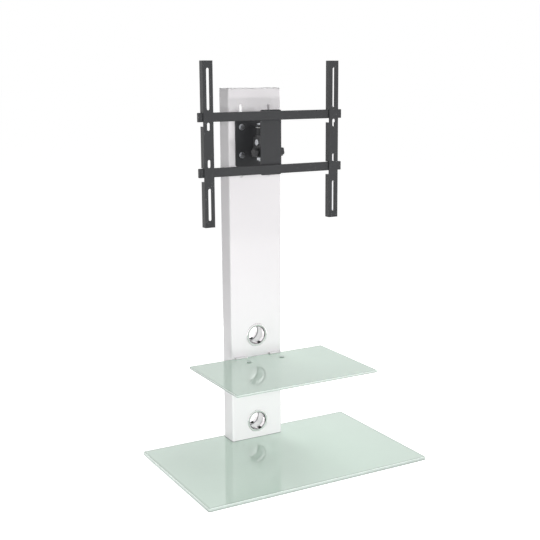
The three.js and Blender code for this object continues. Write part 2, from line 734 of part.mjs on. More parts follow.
function carriageBolt() {
  const shank = FIT_GAP + CARRIAGE_PLATE + COLUMN_WALL + FIT_GAP + CLAMP_BAR + CARRIAGE_BOLT_PAST;
  const body = turned([
    point(0, -CARRIAGE_BOLT_FLANGE),
    point(CARRIAGE_BOLT_FLANGE_RADIUS, -CARRIAGE_BOLT_FLANGE),
    point(CARRIAGE_BOLT_FLANGE_RADIUS, 0),
    point(CARRIAGE_BOLT_RADIUS, 0),
    point(CARRIAGE_BOLT_RADIUS, shank),
    point(0, shank),
  ]);
  const hex = rod(
    CARRIAGE_BOLT_HEX_RADIUS,
    -CARRIAGE_BOLT_FLANGE - CARRIAGE_BOLT_HEX,
    -CARRIAGE_BOLT_FLANGE / 2,
    HEX_SIDES,
  );
  return join(body, hex);
}

function clampBar() {
  const outline = roundedRect(CLAMP_BAR_WIDTH, CLAMP_BAR_HEIGHT, CLAMP_BAR_CORNER);
  const holes = SIDES.map((side) =>
    circle(0, (side * CARRIAGE_BOLT_SPREAD_Z) / 2, CARRIAGE_BOLT_RADIUS + FIT_GAP),
  );
  return facingFront(sheet(outline, CLAMP_BAR, holes));
}

function makeCarriage() {
  const group = new THREE.Group();
  group.add(piece("mount_carriage", mountCarriage(), "blackSteel"));
  CARRIAGE_BOLT_PLACES.forEach((p, i) => {
    const y = CARRIAGE_FRONT - SEAT_GAP;
    const bolt = piece(`carriage_bolt_${i + 1}`, carriageBolt(), "zinc", p.x, y, p.y);
    bolt.rotation.x = -Math.PI / 2;
    group.add(bolt);
  });
  SIDES.forEach((side, i) => {
    const x = (side * CARRIAGE_BOLT_SPREAD_X) / 2;
    const y = COLUMN_WALL + FIT_GAP + CLAMP_BAR;
    group.add(piece(`clamp_bar_${SIDE_NAMES[i]}`, clampBar(), "zinc", x, y, 0));
  });
  return group;
}

// Swivel: a pin through the lugs carries the head's barrel between two nylon washers

function swivelPin() {
  const shankBottom = -LUG_OUTER - SEAT_GAP - NUT_HEIGHT - PIN_PAST;
  const shankTop = LUG_OUTER + SEAT_GAP;
  return turned([
    point(0, shankBottom),
    point(PIVOT_RADIUS - PIN_BEVEL, shankBottom),
    point(PIVOT_RADIUS, shankBottom + PIN_BEVEL),
    point(PIVOT_RADIUS, shankTop),
    point(PIN_HEAD_RADIUS, shankTop),
    point(PIN_HEAD_RADIUS, shankTop + PIN_HEAD - PIN_BEVEL),
    point(PIN_HEAD_RADIUS - PIN_BEVEL, shankTop + PIN_HEAD),
    point(0, shankTop + PIN_HEAD),
  ]);
}

function nut(outerRadius, height, boreRadius) {
  return sheet(circle(0, 0, outerRadius, HEX_SIDES), height, [circle(0, 0, boreRadius)]);
}

function washer(outerRadius, thickness, boreRadius) {
  return sheet(circle(0, 0, outerRadius, TURNED_STEPS), thickness, [
    circle(0, 0, boreRadius, TURNED_STEPS),
  ]);
}

// A cheek of the head: round the tilt bolt at the top, round the lock bolt below it.
function cheekOutline(rear) {
  const lean = Math.asin((CHEEK_RADIUS - LOCK_BOSS_RADIUS) / LOCK_DROP);
  return [
    point(rear, CHEEK_RADIUS),
    ...arc(0, 0, CHEEK_RADIUS, Math.PI / 2, Math.PI + lean, 2 * CORNER_STEPS),
    ...arc(0, -LOCK_DROP, LOCK_BOSS_RADIUS, Math.PI + lean, 1.5 * Math.PI, CORNER_STEPS),
    point(rear, -LOCK_DROP - LOCK_BOSS_RADIUS),
  ];
}

// Depths here are measured from the swivel pin's axis.
function swivelHead() {
  const barrelHalf = LUG_SPACE / 2 - SWIVEL_WASHER - 2 * FIT_GAP;
  const barrel = washer(BARREL_RADIUS, 2 * barrelHalf, PIVOT_RADIUS + FIT_GAP);
  barrel.translate(0, 0, -barrelHalf);
  const webRear = -BARREL_RADIUS + HEAD_BARREL_BITE;
  const webTop = CHEEK_RADIUS;
  const webBottom = -LOCK_DROP - LOCK_BOSS_RADIUS;
  const web = block(
    HEAD_WIDTH,
    HEAD_PLATE,
    webTop - webBottom,
    0,
    webRear - HEAD_PLATE / 2,
    (webTop + webBottom) / 2,
  );
  const cheekHoles = [
    circle(0, 0, TILT_BOLT_RADIUS + FIT_GAP),
    circle(0, -LOCK_DROP, LOCK_SHANK_RADIUS + FIT_GAP),
  ];
  const cheekRear = TILT_REACH + webRear - HEAD_PLATE / 2;
  const cheeks = [-HEAD_WIDTH / 2, HEAD_WIDTH / 2 - HEAD_PLATE].map((x) =>
    facingSide(sheet(cheekOutline(cheekRear), HEAD_PLATE, cheekHoles)).translate(x, -TILT_REACH, 0),
  );
  return join(barrel, web, ...cheeks);
}

function makeSwivel() {
  const group = new THREE.Group();
  group.position.y = -PIVOT_REACH;
  const washerPlace = LUG_SPACE / 2 - SWIVEL_WASHER - FIT_GAP;
  const nutPlace = -LUG_OUTER - SEAT_GAP - NUT_HEIGHT;
  const washerBore = PIVOT_RADIUS + FIT_GAP;
  group.add(
    piece("swivel_pin", swivelPin(), "zinc"),
    piece("swivel_nut", nut(NUT_RADIUS, NUT_HEIGHT, washerBore), "zinc", 0, 0, nutPlace),
    piece("swivel_head", swivelHead(), "blackSteel"),
  );
  [washerPlace, -washerPlace - SWIVEL_WASHER].forEach((z, i) => {
    const geometry = washer(BARREL_RADIUS, SWIVEL_WASHER, washerBore);
    group.add(piece(["swivel_washer_upper", "swivel_washer_lower"][i], geometry, "nylon", 0, 0, z));
  });
  return group;
}

// Tilt: a folded bracket whose ears hang on two bolts and are locked by a knob at each side.
// Depths and heights are measured from the tilt axis.

const EAR_INNER = HEAD_WIDTH / 2 + FIT_GAP;
const EAR_OUTER = EAR_INNER + TILT_PLATE;

// The arc slot that lets the ear turn about the tilt axis past the lock bolt.
function arcSlot() {
  const halfWidth = LOCK_SHANK_RADIUS + FIT_GAP + SLOT_PLAY;
  const down = -Math.PI / 2;
  const from = down - TILT_DOWN_LIMIT;
  const to = down + TILT_UP_LIMIT;
  const end = (angle) => [LOCK_DROP * Math.cos(angle), LOCK_DROP * Math.sin(angle)];
  return [
    ...arc(0, 0, LOCK_DROP + halfWidth, from, to, CORNER_STEPS).slice(0, -1),
    ...arc(...end(to), halfWidth, to, to + Math.PI, CORNER_STEPS),
    ...arc(0, 0, LOCK_DROP - halfWidth, to, from, CORNER_STEPS).slice(1, -1),
    ...arc(...end(from), halfWidth, from + Math.PI, from + 2 * Math.PI, CORNER_STEPS).slice(0, -1),
  ];
}

function tiltBracket() {
  const webOutline = roundedRect(2 * EAR_OUTER, TILT_PLATE_HEIGHT, TILT_CORNER);
  const web = facingFront(sheet(webOutline, TILT_PLATE)).translate(0, -TILT_PLATE_REACH, 0);
  const front = -TILT_PLATE_REACH - TILT_PLATE / 2;
  const earOutline = [
    point(front, EAR_TOP),
    point(front, -EAR_BOTTOM),
    ...arc(EAR_REAR - EAR_CORNER, EAR_CORNER - EAR_BOTTOM, EAR_CORNER, 1.5 * Math.PI, 2 * Math.PI, CORNER_STEPS),
    ...arc(EAR_REAR - EAR_CORNER, EAR_TOP - EAR_CORNER, EAR_CORNER, 0, Math.PI / 2, CORNER_STEPS),
  ];
  const earHoles = [circle(0, 0, TILT_BOLT_RADIUS + FIT_GAP), arcSlot()];
  const ears = [-EAR_OUTER, EAR_INNER].map((x) =>
    facingSide(sheet(earOutline, TILT_PLATE, earHoles)).translate(x, 0, 0),
  );
  return join(web, ...ears);
}

// Bolts and knobs lie along X, their heads outside the ears: z = 0 is the ear's outer face.
function tiltBolt() {
  const shank = TILT_PLATE + FIT_GAP + HEAD_PLATE + SHANK_PAST;
  return turned([
    point(0, -shank),
    point(TILT_BOLT_RADIUS, -shank),
    point(TILT_BOLT_RADIUS, SEAT_GAP),
    point(TILT_BOLT_HEAD_RADIUS, SEAT_GAP),
    point(TILT_BOLT_HEAD_RADIUS, TILT_BOLT_HEAD - TILT_BOLT_BEVEL),
    point(TILT_BOLT_HEAD_RADIUS - TILT_BOLT_BEVEL, TILT_BOLT_HEAD),
    point(0, TILT_BOLT_HEAD),
  ]);
}

function tiltKnob() {
  const shank = TILT_PLATE + FIT_GAP + HEAD_PLATE + SHANK_PAST;
  const outline = Array.from({ length: KNOB_STEPS }, (_, i) => {
    const angle = (2 * Math.PI * i) / KNOB_STEPS;
    const radius = KNOB_RADIUS - (KNOB_LOBE_DEPTH * (1 - Math.cos(KNOB_LOBES * angle))) / 2;
    return point(radius * Math.cos(angle), radius * Math.sin(angle));
  });
  const grip = sheet(outline, KNOB_THICKNESS).translate(0, 0, KNOB_NECK);
  const neckAndShank = turned([
    point(0, -shank),
    point(LOCK_SHANK_RADIUS, -shank),
    point(LOCK_SHANK_RADIUS, FIT_GAP),
    point(KNOB_NECK_RADIUS, FIT_GAP),
    point(KNOB_NECK_RADIUS, KNOB_NECK + KNOB_THICKNESS / 2),
    point(0, KNOB_NECK + KNOB_THICKNESS / 2),
  ]);
  return join(grip, neckAndShank);
}

function makeTilt() {
  const group = new THREE.Group();
  group.position.y = -PIVOT_REACH - TILT_REACH;
  group.add(piece("tilt_bracket", tiltBracket(), "blackSteel"));
  SIDES.forEach((side, i) => {
    const bolt = piece(`tilt_bolt_${SIDE_NAMES[i]}`, tiltBolt(), "zinc", side * EAR_OUTER);
    bolt.rotation.y = (side * Math.PI) / 2;
    const knob = piece(`tilt_knob_${SIDE_NAMES[i]}`, tiltKnob(), "blackPlastic", side * EAR_OUTER);
    knob.position.z = -LOCK_DROP;
    knob.rotation.y = (side * Math.PI) / 2;
    group.add(bolt, knob);
  });
  return group;
}

// Rails: two rectangular tubes on the tilt bracket, with plastic end caps.
// Depths are measured from the tilt axis, and the rail's own section is drawn round its middle.

const RAIL_MIDDLE = -TILT_PLATE_REACH - TILT_PLATE - SEAT_GAP - RAIL_DEPTH / 2;

function rail() {
  const bore = roundedRect(RAIL_DEPTH - 2 * RAIL_WALL, RAIL_HEIGHT - 2 * RAIL_WALL, RAIL_CORNER / 2);
  const outline = roundedRect(RAIL_DEPTH, RAIL_HEIGHT, RAIL_CORNER);
  return facingSide(sheet(outline, RAIL_LENGTH, [bore])).translate(-RAIL_LENGTH / 2, 0, 0);
}

function railCap(side) {
  const plugDepth = RAIL_DEPTH - 2 * RAIL_WALL - 2 * FIT_GAP;
  const plugHeight = RAIL_HEIGHT - 2 * RAIL_WALL - 2 * FIT_GAP;
  const face = sheet(roundedRect(RAIL_DEPTH, RAIL_HEIGHT, RAIL_CORNER), RAIL_CAP);
  const plug = sheet(roundedRect(plugDepth, plugHeight, RAIL_CORNER / 2), RAIL_CAP_PLUG + RAIL_CAP / 2);
  const cap = join(face, plug.translate(0, 0, -RAIL_CAP_PLUG));
  return side > 0 ? facingSide(cap) : facingSide(cap).rotateZ(Math.PI);
}

function makeRails() {
  const group = new THREE.Group();
  group.position.y = -PIVOT_REACH - TILT_REACH + RAIL_MIDDLE;
  SIDES.forEach((level, i) => {
    const levelName = ["lower", "upper"][i];
    const z = (level * RAIL_SPREAD) / 2;
    group.add(piece(`rail_${levelName}`, rail(), "blackSteel", 0, 0, z));
    SIDES.forEach((side, j) => {
      const x = side * (RAIL_LENGTH / 2 + SEAT_GAP);
      group.add(piece(`rail_cap_${levelName}_${SIDE_NAMES[j]}`, railCap(side), "blackPlastic", x, 0, z));
    });
  });
  return group;
}

// TV arms: upright channels that hook over the rails and slide along them.
// Depths are measured from the middle of the rails, heights from the middle of the mount.

const RAIL_TOP = RAIL_SPREAD / 2 + RAIL_HEIGHT / 2;
const RAIL_BOTTOM = RAIL_SPREAD / 2 - RAIL_HEIGHT / 2;
const ARM_FRONT = -RAIL_DEPTH / 2 - ARM_CLEARANCE - ARM_WALL;
const ARM_REAR = ARM_FRONT + ARM_DEPTH;
const TAB_TOP = -RAIL_TOP - ARM_LIFT;
const ARM_SCREW_DEPTH = (ARM_FRONT + ARM_WALL + ARM_REAR) / 2;

// A cutter across the arm's flanges, from one depth to another and from one height to another.
function flangeCutter(from, to, bottom, top) {
  return block(
    ARM_WIDTH + 2 * CUT_OVERRUN,
    to - from,
    top - bottom,
    0,
    (from + to) / 2,
    (bottom + top) / 2,
  );
}

function tvArm() {
  const half = ARM_WIDTH / 2;
  const inner = half - ARM_WALL;
  const webRear = ARM_FRONT + ARM_WALL;
  const section = [
    point(-half, ARM_FRONT),
    point(half, ARM_FRONT),
    point(half, ARM_REAR),
    point(inner, ARM_REAR),
    point(inner, webRear),
    point(-inner, webRear),
    point(-inner, ARM_REAR),
    point(-half, ARM_REAR),
  ];
  const channel = sheet(section, ARM_HEIGHT).translate(0, 0, -ARM_HEIGHT / 2);
  const tabDepth = ARM_DEPTH - ARM_WALL / 2;
  const tab = block(
    ARM_WIDTH - ARM_WALL,
    tabDepth,
    TAB_PLATE,
    0,
    ARM_REAR - tabDepth / 2,
    TAB_TOP - TAB_PLATE / 2,
  );
  const notchFront = -RAIL_DEPTH / 2 - FIT_GAP;
  const railRear = RAIL_DEPTH / 2 + FIT_GAP;
  const beyond = ARM_REAR + CUT_OVERRUN;
  const upperBottom = RAIL_BOTTOM - ARM_LIFT;
  const outerEnd = TV_OUTER_SLOT_HEIGHT + TV_OUTER_SLOT_LENGTH / 2;
  const innerEnd = TV_INNER_SLOT_HEIGHT + TV_INNER_SLOT_LENGTH / 2;
  const slots = [
    [-outerEnd, TAB_TOP - TAB_PLATE - ARM_SCREW_HEAD - TV_SLOT_CLEARANCE],
    [-innerEnd, -innerEnd + TV_INNER_SLOT_LENGTH],
    [innerEnd - TV_INNER_SLOT_LENGTH, innerEnd],
    [outerEnd - TV_OUTER_SLOT_LENGTH, outerEnd],
  ]
    .map(([bottom, top]) => uprightSlot(0, (bottom + top) / 2, TV_SLOT_WIDTH, top - bottom))
    .map((outline) => facingFront(sheet(outline, ARM_WALL + 2 * CUT_OVERRUN)))
    .map((cutter) => cutter.translate(0, webRear + CUT_OVERRUN, 0));
  const screwHole = rod(ARM_SCREW_RADIUS + FIT_GAP, -TAB_PLATE - CUT_OVERRUN, CUT_OVERRUN);
  return cut(
    join(channel, tab),
    flangeCutter(notchFront, railRear, upperBottom, RAIL_TOP + FIT_GAP),
    flangeCutter(0, beyond, upperBottom, RAIL_TOP - HOOK_DROP),
    flangeCutter(notchFront, beyond, TAB_TOP, -RAIL_BOTTOM + FIT_GAP),
    screwHole.translate(0, ARM_SCREW_DEPTH, TAB_TOP),
    ...slots,
  );
}

// The safety screw under the lower rail: z = 0 is the underside of the tab.
function armScrew() {
  const shank = TAB_PLATE + ARM_LIFT - FIT_GAP;
  return turned([
    point(0, -ARM_SCREW_HEAD),
    point(ARM_SCREW_HEAD_RADIUS - ARM_SCREW_BEVEL, -ARM_SCREW_HEAD),
    point(ARM_SCREW_HEAD_RADIUS, -ARM_SCREW_HEAD + ARM_SCREW_BEVEL),
    point(ARM_SCREW_HEAD_RADIUS, -SEAT_GAP),
    point(ARM_SCREW_RADIUS, -SEAT_GAP),
    point(ARM_SCREW_RADIUS, shank),
    point(0, shank),
  ]);
}

function makeArms() {
  const group = new THREE.Group();
  group.position.y = -PIVOT_REACH - TILT_REACH + RAIL_MIDDLE;
  SIDES.forEach((side, i) => {
    const x = (side * ARM_SPREAD) / 2;
    const screwHeight = TAB_TOP - TAB_PLATE;
    group.add(
      piece(`tv_arm_${SIDE_NAMES[i]}`, tvArm(), "blackSteel", x),
      piece(`arm_screw_${SIDE_NAMES[i]}`, armScrew(), "zinc", x, ARM_SCREW_DEPTH, screwHeight),
    );
  });
  return group;
}

// The whole stand

function makeMount() {
  const group = new THREE.Group();
  group.position.set(0, COLUMN_FRONT, MOUNT_HEIGHT);
  group.add(makeCarriage(), makeSwivel(), makeTilt(), makeRails(), makeArms());
  return group;
}

const stand = new THREE.Group();
stand.add(makeBase(), makeColumn(), makeShelf(), makeMount());

export default stand;
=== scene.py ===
import math

import bmesh
import bpy
from mathutils import Matrix, Vector
from mathutils.geometry import tessellate_polygon


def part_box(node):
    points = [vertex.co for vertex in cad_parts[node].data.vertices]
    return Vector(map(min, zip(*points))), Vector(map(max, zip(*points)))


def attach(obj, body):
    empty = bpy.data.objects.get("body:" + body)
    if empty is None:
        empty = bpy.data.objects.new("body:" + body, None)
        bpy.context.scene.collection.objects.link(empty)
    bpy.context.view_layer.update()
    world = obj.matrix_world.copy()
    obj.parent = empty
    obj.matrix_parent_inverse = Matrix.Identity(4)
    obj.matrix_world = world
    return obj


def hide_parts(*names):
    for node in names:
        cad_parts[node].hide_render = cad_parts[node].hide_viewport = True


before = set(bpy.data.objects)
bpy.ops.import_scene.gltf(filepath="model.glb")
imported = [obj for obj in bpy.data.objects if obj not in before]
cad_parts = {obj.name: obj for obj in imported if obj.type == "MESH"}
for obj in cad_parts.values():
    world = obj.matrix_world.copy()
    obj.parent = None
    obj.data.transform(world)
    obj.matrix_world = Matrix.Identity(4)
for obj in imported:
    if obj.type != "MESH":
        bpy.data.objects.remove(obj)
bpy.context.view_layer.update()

# Base glass
# One sheet of toughened glass, 10 mm thick, clear and glossy on top with a satin mint-green back.
# The edges are ground, both arrises are taken off, and four holes let the column's bolts through.

MILLIMETRE = 0.001
GLASS_CORNER = 4 * MILLIMETRE
GLASS_ARRIS = 0.9 * MILLIMETRE
ARRIS_SEAT = 0.3 * MILLIMETRE
COLLAR_HOLE = 6.1 * MILLIMETRE
CORNER_STEPS = 8
ARRIS_STEPS = 3
HOLE_STEPS = 32
CRISP_EDGE = math.radians(40)

# The base's mint is painted a little lighter than the shelf's, though both are the same glass: painted
# light that evens out how the two sheets are lit
BASE_MINT_PAINTED_LIGHTER = (0.58, 0.727, 0.632, 1)
MINT_BACK = (0.58, 0.70, 0.62, 1)
# The arrises are pale as ground glass is, and lighter still as a painted highlight where they catch the
# light
PALE_ARRIS_AND_HIGHLIGHT = (0.81, 0.91, 0.855, 1)
EDGE_LIGHT = (0.54, 0.615, 0.572, 1)
EDGE_DEEP = (0.37, 0.435, 0.395, 1)
FACE_GLOSS = 0.06
FACE_IOR = 1.65
# RIM_REACH and RIM_SHADE set the painted shade that darkens a glass face towards its edges
RIM_REACH = 1.0
RIM_SHADE = 0.70
EDGE_LINE_START = 0.38
EDGE_LINE_END = 0.50
SHEET_FACE, SHEET_EDGE, SHEET_BACK, SHEET_ARRIS = range(4)


def finished(name, bm, crisp=CRISP_EDGE):
    """Turns built-up faces into a named piece that shades smoothly between its crisp edges."""
    bmesh.ops.recalc_face_normals(bm, faces=bm.faces)
    mesh = bpy.data.meshes.new(name)
    bm.to_mesh(mesh)
    bm.free()
    mesh.shade_smooth()
    mesh.set_sharp_from_angle(angle=crisp)
    piece = bpy.data.objects.new(name, mesh)
    bpy.context.collection.objects.link(piece)
    return piece


def round_cornered(low, high, corner):
    """Gives the outline of a rectangle with round corners, drawn in by any amount."""

    def outline(inset):
        radius = max(corner - inset, corner / CORNER_STEPS)
        points = []
        for quarter, (x_side, y_side) in enumerate(((1, 1), (0, 1), (0, 0), (1, 0))):
            x = high.x - inset - radius if x_side else low.x + inset + radius
            y = high.y - inset - radius if y_side else low.y + inset + radius
            for step in range(CORNER_STEPS + 1):
                turn = (quarter + step / CORNER_STEPS) * math.pi / 2
                points.append((x + radius * math.cos(turn), y + radius * math.sin(turn)))
        return points

    return outline


def round_hole(x, y, radius):
    """Gives the outline of a drilled hole, opened out by any amount."""

    def outline(inset):
        turns = [2 * math.pi * step / HOLE_STEPS for step in range(HOLE_STEPS)]
        reach = radius + inset
        return [(x + reach * math.cos(turn), y + reach * math.sin(turn)) for turn in turns]

    return outline


def eased_edge(bottom, top, arris):
    """The section of a sheet's edge from back to face, with both arrises rounded off.

    It starts and ends a little way in on the flat, so that the flat shades as flat.
    """
    seat = arris + ARRIS_SEAT
    turns = [step / ARRIS_STEPS * math.pi / 2 for step in range(ARRIS_STEPS + 1)]
    lower = [(arris * (1 - math.sin(turn)), bottom + arris * (1 - math.cos(turn))) for turn in turns]
    upper = [(arris * (1 - math.cos(turn)), top - arris * (1 - math.sin(turn))) for turn in turns]
    return [(seat, bottom)] + lower + upper + [(seat, top)]


def band_between(bm, lower, upper):
    """Joins two like loops of points with a band of faces, and gives the band."""
    band = []
    for here in range(len(lower)):
        there = (here + 1) % len(lower)
        band.append(bm.faces.new((lower[here], lower[there], upper[there], upper[here])))
    return band


def sheet_piece(name, outline, holes, edge):
    """A flat sheet, with a material each for its face, edges, back and arrises, in that order."""
    bm = bmesh.new()
    back_rims = []
    face_rims = []
    bands = [SHEET_BACK] + [SHEET_ARRIS] * ARRIS_STEPS
    bands += [SHEET_EDGE] + [SHEET_ARRIS] * ARRIS_STEPS + [SHEET_FACE]
    for ring in [outline] + holes:
        loops = [[bm.verts.new((x, y, height)) for x, y in ring(inset)] for inset, height in edge]
        for lower, upper, band in zip(loops, loops[1:], bands):
            for wall in band_between(bm, lower, upper):
                wall.material_index = band
        back_rims.append(loops[0])
        face_rims.append(loops[-1])
    for rims, side in ((back_rims, SHEET_BACK), (face_rims, SHEET_FACE)):
        corners = [corner for rim in rims for corner in rim]
        for triangle in tessellate_polygon([[corner.co for corner in rim] for rim in rims]):
            face = bm.faces.new([corners[index] for index in triangle])
            face.material_index = side
    return finished(name, bm)


def put(tree, kind, settings=None, **values):
    """Adds one shader node with its settings and plain socket values."""
    node = tree.nodes.new(kind)
    for key, value in (settings or {}).items():
        setattr(node, key, value)
    for key, value in values.items():
        node.inputs[key.replace("_", " ")].default_value = value
    return node


def effect(name, inputs, outputs):
    """Starts a shared effect: a node group with named inputs and outputs."""
    group = bpy.data.node_groups.new(name, "ShaderNodeTree")
    for label, kind, value in inputs:
        socket = group.interface.new_socket(label, in_out="INPUT", socket_type=kind)
        socket.default_value = value
    for label, kind in outputs:
        group.interface.new_socket(label, in_out="OUTPUT", socket_type=kind)
    return group, group.nodes.new("NodeGroupInput"), group.nodes.new("NodeGroupOutput")


# cloud: slow changes of tone over a finish, as coats, moulded skins and fired backs have
cloud, cloud_in, cloud_out = effect(
    "cloud",
    [
        ("Color", "NodeSocketColor", (1, 1, 1, 1)),
        ("Depth", "NodeSocketFloat", 0.05),
        ("Patch Scale", "NodeSocketFloat", 20),
        ("Low", "NodeSocketFloat", 0.3),
        ("High", "NodeSocketFloat", 0.4),
    ],
    [("Color", "NodeSocketColor"), ("Roughness", "NodeSocketFloat")],
)
cloud_place = put(cloud, "ShaderNodeTexCoord")
cloud_noise = put(cloud, "ShaderNodeTexNoise", Detail=4, Roughness=0.6)
cloud_middle = put(cloud, "ShaderNodeMath", {"operation": "SUBTRACT"})
cloud_middle.inputs[1].default_value = 0.5
cloud_tone = put(cloud, "ShaderNodeMath", {"operation": "MULTIPLY_ADD"})
cloud_tone.inputs[2].default_value = 1
cloud_shade = put(cloud, "ShaderNodeHueSaturation")
cloud_gloss = put(cloud, "ShaderNodeMapRange")
cloud.links.new(cloud_place.outputs["Object"], cloud_noise.inputs["Vector"])
cloud.links.new(cloud_in.outputs["Patch Scale"], cloud_noise.inputs["Scale"])
cloud.links.new(cloud_noise.outputs["Fac"], cloud_middle.inputs[0])
cloud.links.new(cloud_middle.outputs["Value"], cloud_tone.inputs[0])
cloud.links.new(cloud_in.outputs["Depth"], cloud_tone.inputs[1])
cloud.links.new(cloud_in.outputs["Color"], cloud_shade.inputs["Color"])
cloud.links.new(cloud_tone.outputs["Value"], cloud_shade.inputs["Value"])
cloud.links.new(cloud_noise.outputs["Fac"], cloud_gloss.inputs["Value"])
cloud.links.new(cloud_in.outputs["Low"], cloud_gloss.inputs["To Min"])
cloud.links.new(cloud_in.outputs["High"], cloud_gloss.inputs["To Max"])
cloud.links.new(cloud_shade.outputs["Color"], cloud_out.inputs["Color"])
cloud.links.new(cloud_gloss.outputs["Result"], cloud_out.inputs["Roughness"])

# grain: the fine height of a surface, drawn out along one way where it was ground or brushed
grain, grain_in, grain_out = effect(
    "grain",
    [
        ("Grain Scale", "NodeSocketFloat", 900),
        ("Stretch", "NodeSocketVector", (1, 1, 1)),
    ],
    [("Height", "NodeSocketFloat")],
)
grain_place = put(grain, "ShaderNodeTexCoord")
grain_stretch = put(grain, "ShaderNodeVectorMath", {"operation": "MULTIPLY"})
grain_noise = put(grain, "ShaderNodeTexNoise", Detail=3, Roughness=0.55)
grain.links.new(grain_place.outputs["Object"], grain_stretch.inputs[0])
grain.links.new(grain_in.outputs["Stretch"], grain_stretch.inputs[1])
grain.links.new(grain_stretch.outputs["Vector"], grain_noise.inputs["Vector"])
grain.links.new(grain_in.outputs["Grain Scale"], grain_noise.inputs["Scale"])
grain.links.new(grain_noise.outputs["Fac"], grain_out.inputs["Height"])


def new_material(name, **plain):
    """A material with a Principled shader, whose plain values go straight on its sockets."""
    material = bpy.data.materials.new(name)
    material.use_nodes = True
    shader = material.node_tree.nodes["Principled BSDF"]
    for key, value in plain.items():
        shader.inputs[key.replace("_", " ")].default_value = value
    return material, material.node_tree, shader


def place_effect(tree, group, **values):
    """Places a shared effect in a material with its own values."""
    return put(tree, "ShaderNodeGroup", {"node_tree": group}, **values)


def clouded(tree, shader, colour, depth, patch, rough):
    """Gives a shader its clouded colour and gloss."""
    low, high = rough
    tone = place_effect(tree, cloud, Color=colour, Depth=depth, Patch_Scale=patch, Low=low, High=high)
    tree.links.new(tone.outputs["Color"], shader.inputs["Base Color"])
    tree.links.new(tone.outputs["Roughness"], shader.inputs["Roughness"])
    return tone


def grained(tree, shader, grit, relief, stretch=(1, 1, 1)):
    """Gives a shader its fine relief."""
    fine = place_effect(tree, grain, Grain_Scale=grit, Stretch=stretch)
    bump = put(tree, "ShaderNodeBump", Strength=1, Distance=relief)
    tree.links.new(fine.outputs["Height"], bump.inputs["Height"])
    tree.links.new(bump.outputs["Normal"], shader.inputs["Normal"])


def finish(name, colour, depth, patch, rough, grit=0, relief=0, **plain):
    """A finish of one clouded colour, with a fine relief where it has any."""
    material, tree, shader = new_material(name, **plain)
    clouded(tree, shader, colour, depth, patch, rough)
    if grit:
        grained(tree, shader, grit, relief)
    return material


# rim: a mask that rises towards the edges of a rectangle, for the painted shade that darkens a sheet's
# face near its edges
rim, rim_in, rim_out = effect(
    "rim",
    [
        ("Low", "NodeSocketVector", (0, 0, 0)),
        ("High", "NodeSocketVector", (1, 1, 1)),
        ("Width", "NodeSocketFloat", 0.005),
    ],
    [("Mask", "NodeSocketFloat")],
)
rim_place = put(rim, "ShaderNodeTexCoord")
rim_from_low = put(rim, "ShaderNodeVectorMath", {"operation": "SUBTRACT"})
rim_from_high = put(rim, "ShaderNodeVectorMath", {"operation": "SUBTRACT"})
rim_nearer = put(rim, "ShaderNodeVectorMath", {"operation": "MINIMUM"})
rim_split = put(rim, "ShaderNodeSeparateXYZ")
rim_nearest = put(rim, "ShaderNodeMath", {"operation": "MINIMUM"})
painted_rim_shade = put(rim, "ShaderNodeMapRange", {"interpolation_type": "SMOOTHSTEP"}, To_Min=1, To_Max=0)
rim.links.new(rim_place.outputs["Object"], rim_from_low.inputs[0])
rim.links.new(rim_in.outputs["Low"], rim_from_low.inputs[1])
rim.links.new(rim_in.outputs["High"], rim_from_high.inputs[0])
rim.links.new(rim_place.outputs["Object"], rim_from_high.inputs[1])
rim.links.new(rim_from_low.outputs["Vector"], rim_nearer.inputs[0])
rim.links.new(rim_from_high.outputs["Vector"], rim_nearer.inputs[1])
rim.links.new(rim_nearer.outputs["Vector"], rim_split.inputs["Vector"])
rim.links.new(rim_split.outputs["X"], rim_nearest.inputs[0])
rim.links.new(rim_split.outputs["Y"], rim_nearest.inputs[1])
rim.links.new(rim_nearest.outputs["Value"], painted_rim_shade.inputs["Value"])
rim.links.new(rim_in.outputs["Width"], painted_rim_shade.inputs["From Max"])
rim.links.new(painted_rim_shade.outputs["Result"], rim_out.inputs["Mask"])


def glass_face(name, low, high, mint):
    """The glossy top of a sheet: satin mint seen through clear glass, with painted shade darkening it
    along its rim.
    """
    material, tree, shader = new_material(
        name,
        Specular_IOR_Level=0.5,
        Coat_Weight=1,
        Coat_Roughness=FACE_GLOSS,
        Coat_IOR=FACE_IOR,
    )
    tone = clouded(tree, shader, mint, depth=0.06, patch=9, rough=(0.05, 0.09))
    # painted shade: the mint darkens towards the sheet's edges
    edge = place_effect(tree, rim, Low=low, High=high, Width=RIM_REACH * (high.z - low.z))
    mix = put(tree, "ShaderNodeMix", {"data_type": "RGBA"})
    mix.inputs["B"].default_value = [RIM_SHADE * part for part in mint[:3]] + [1]
    tree.links.new(edge.outputs["Mask"], mix.inputs["Factor"])
    tree.links.new(tone.outputs["Color"], mix.inputs["A"])
    tree.links.new(mix.outputs["Result"], shader.inputs["Base Color"])
    grained(tree, shader, grit=1600, relief=0.003 * MILLIMETRE)
    return material


glass_back = finish(
    "glass_back", MINT_BACK, depth=0.06, patch=12, rough=(0.5, 0.65),
    grit=1400, relief=0.05 * MILLIMETRE, Specular_IOR_Level=0.35
)
# painted highlight: the arris colour is lightened past the ground glass's own pale tone
arris_with_highlight = finish(
    "arris_with_highlight", PALE_ARRIS_AND_HIGHLIGHT, depth=0.15, patch=60, rough=(0.45, 0.6),
    grit=1200, relief=0.04 * MILLIMETRE, Specular_IOR_Level=0.3
)


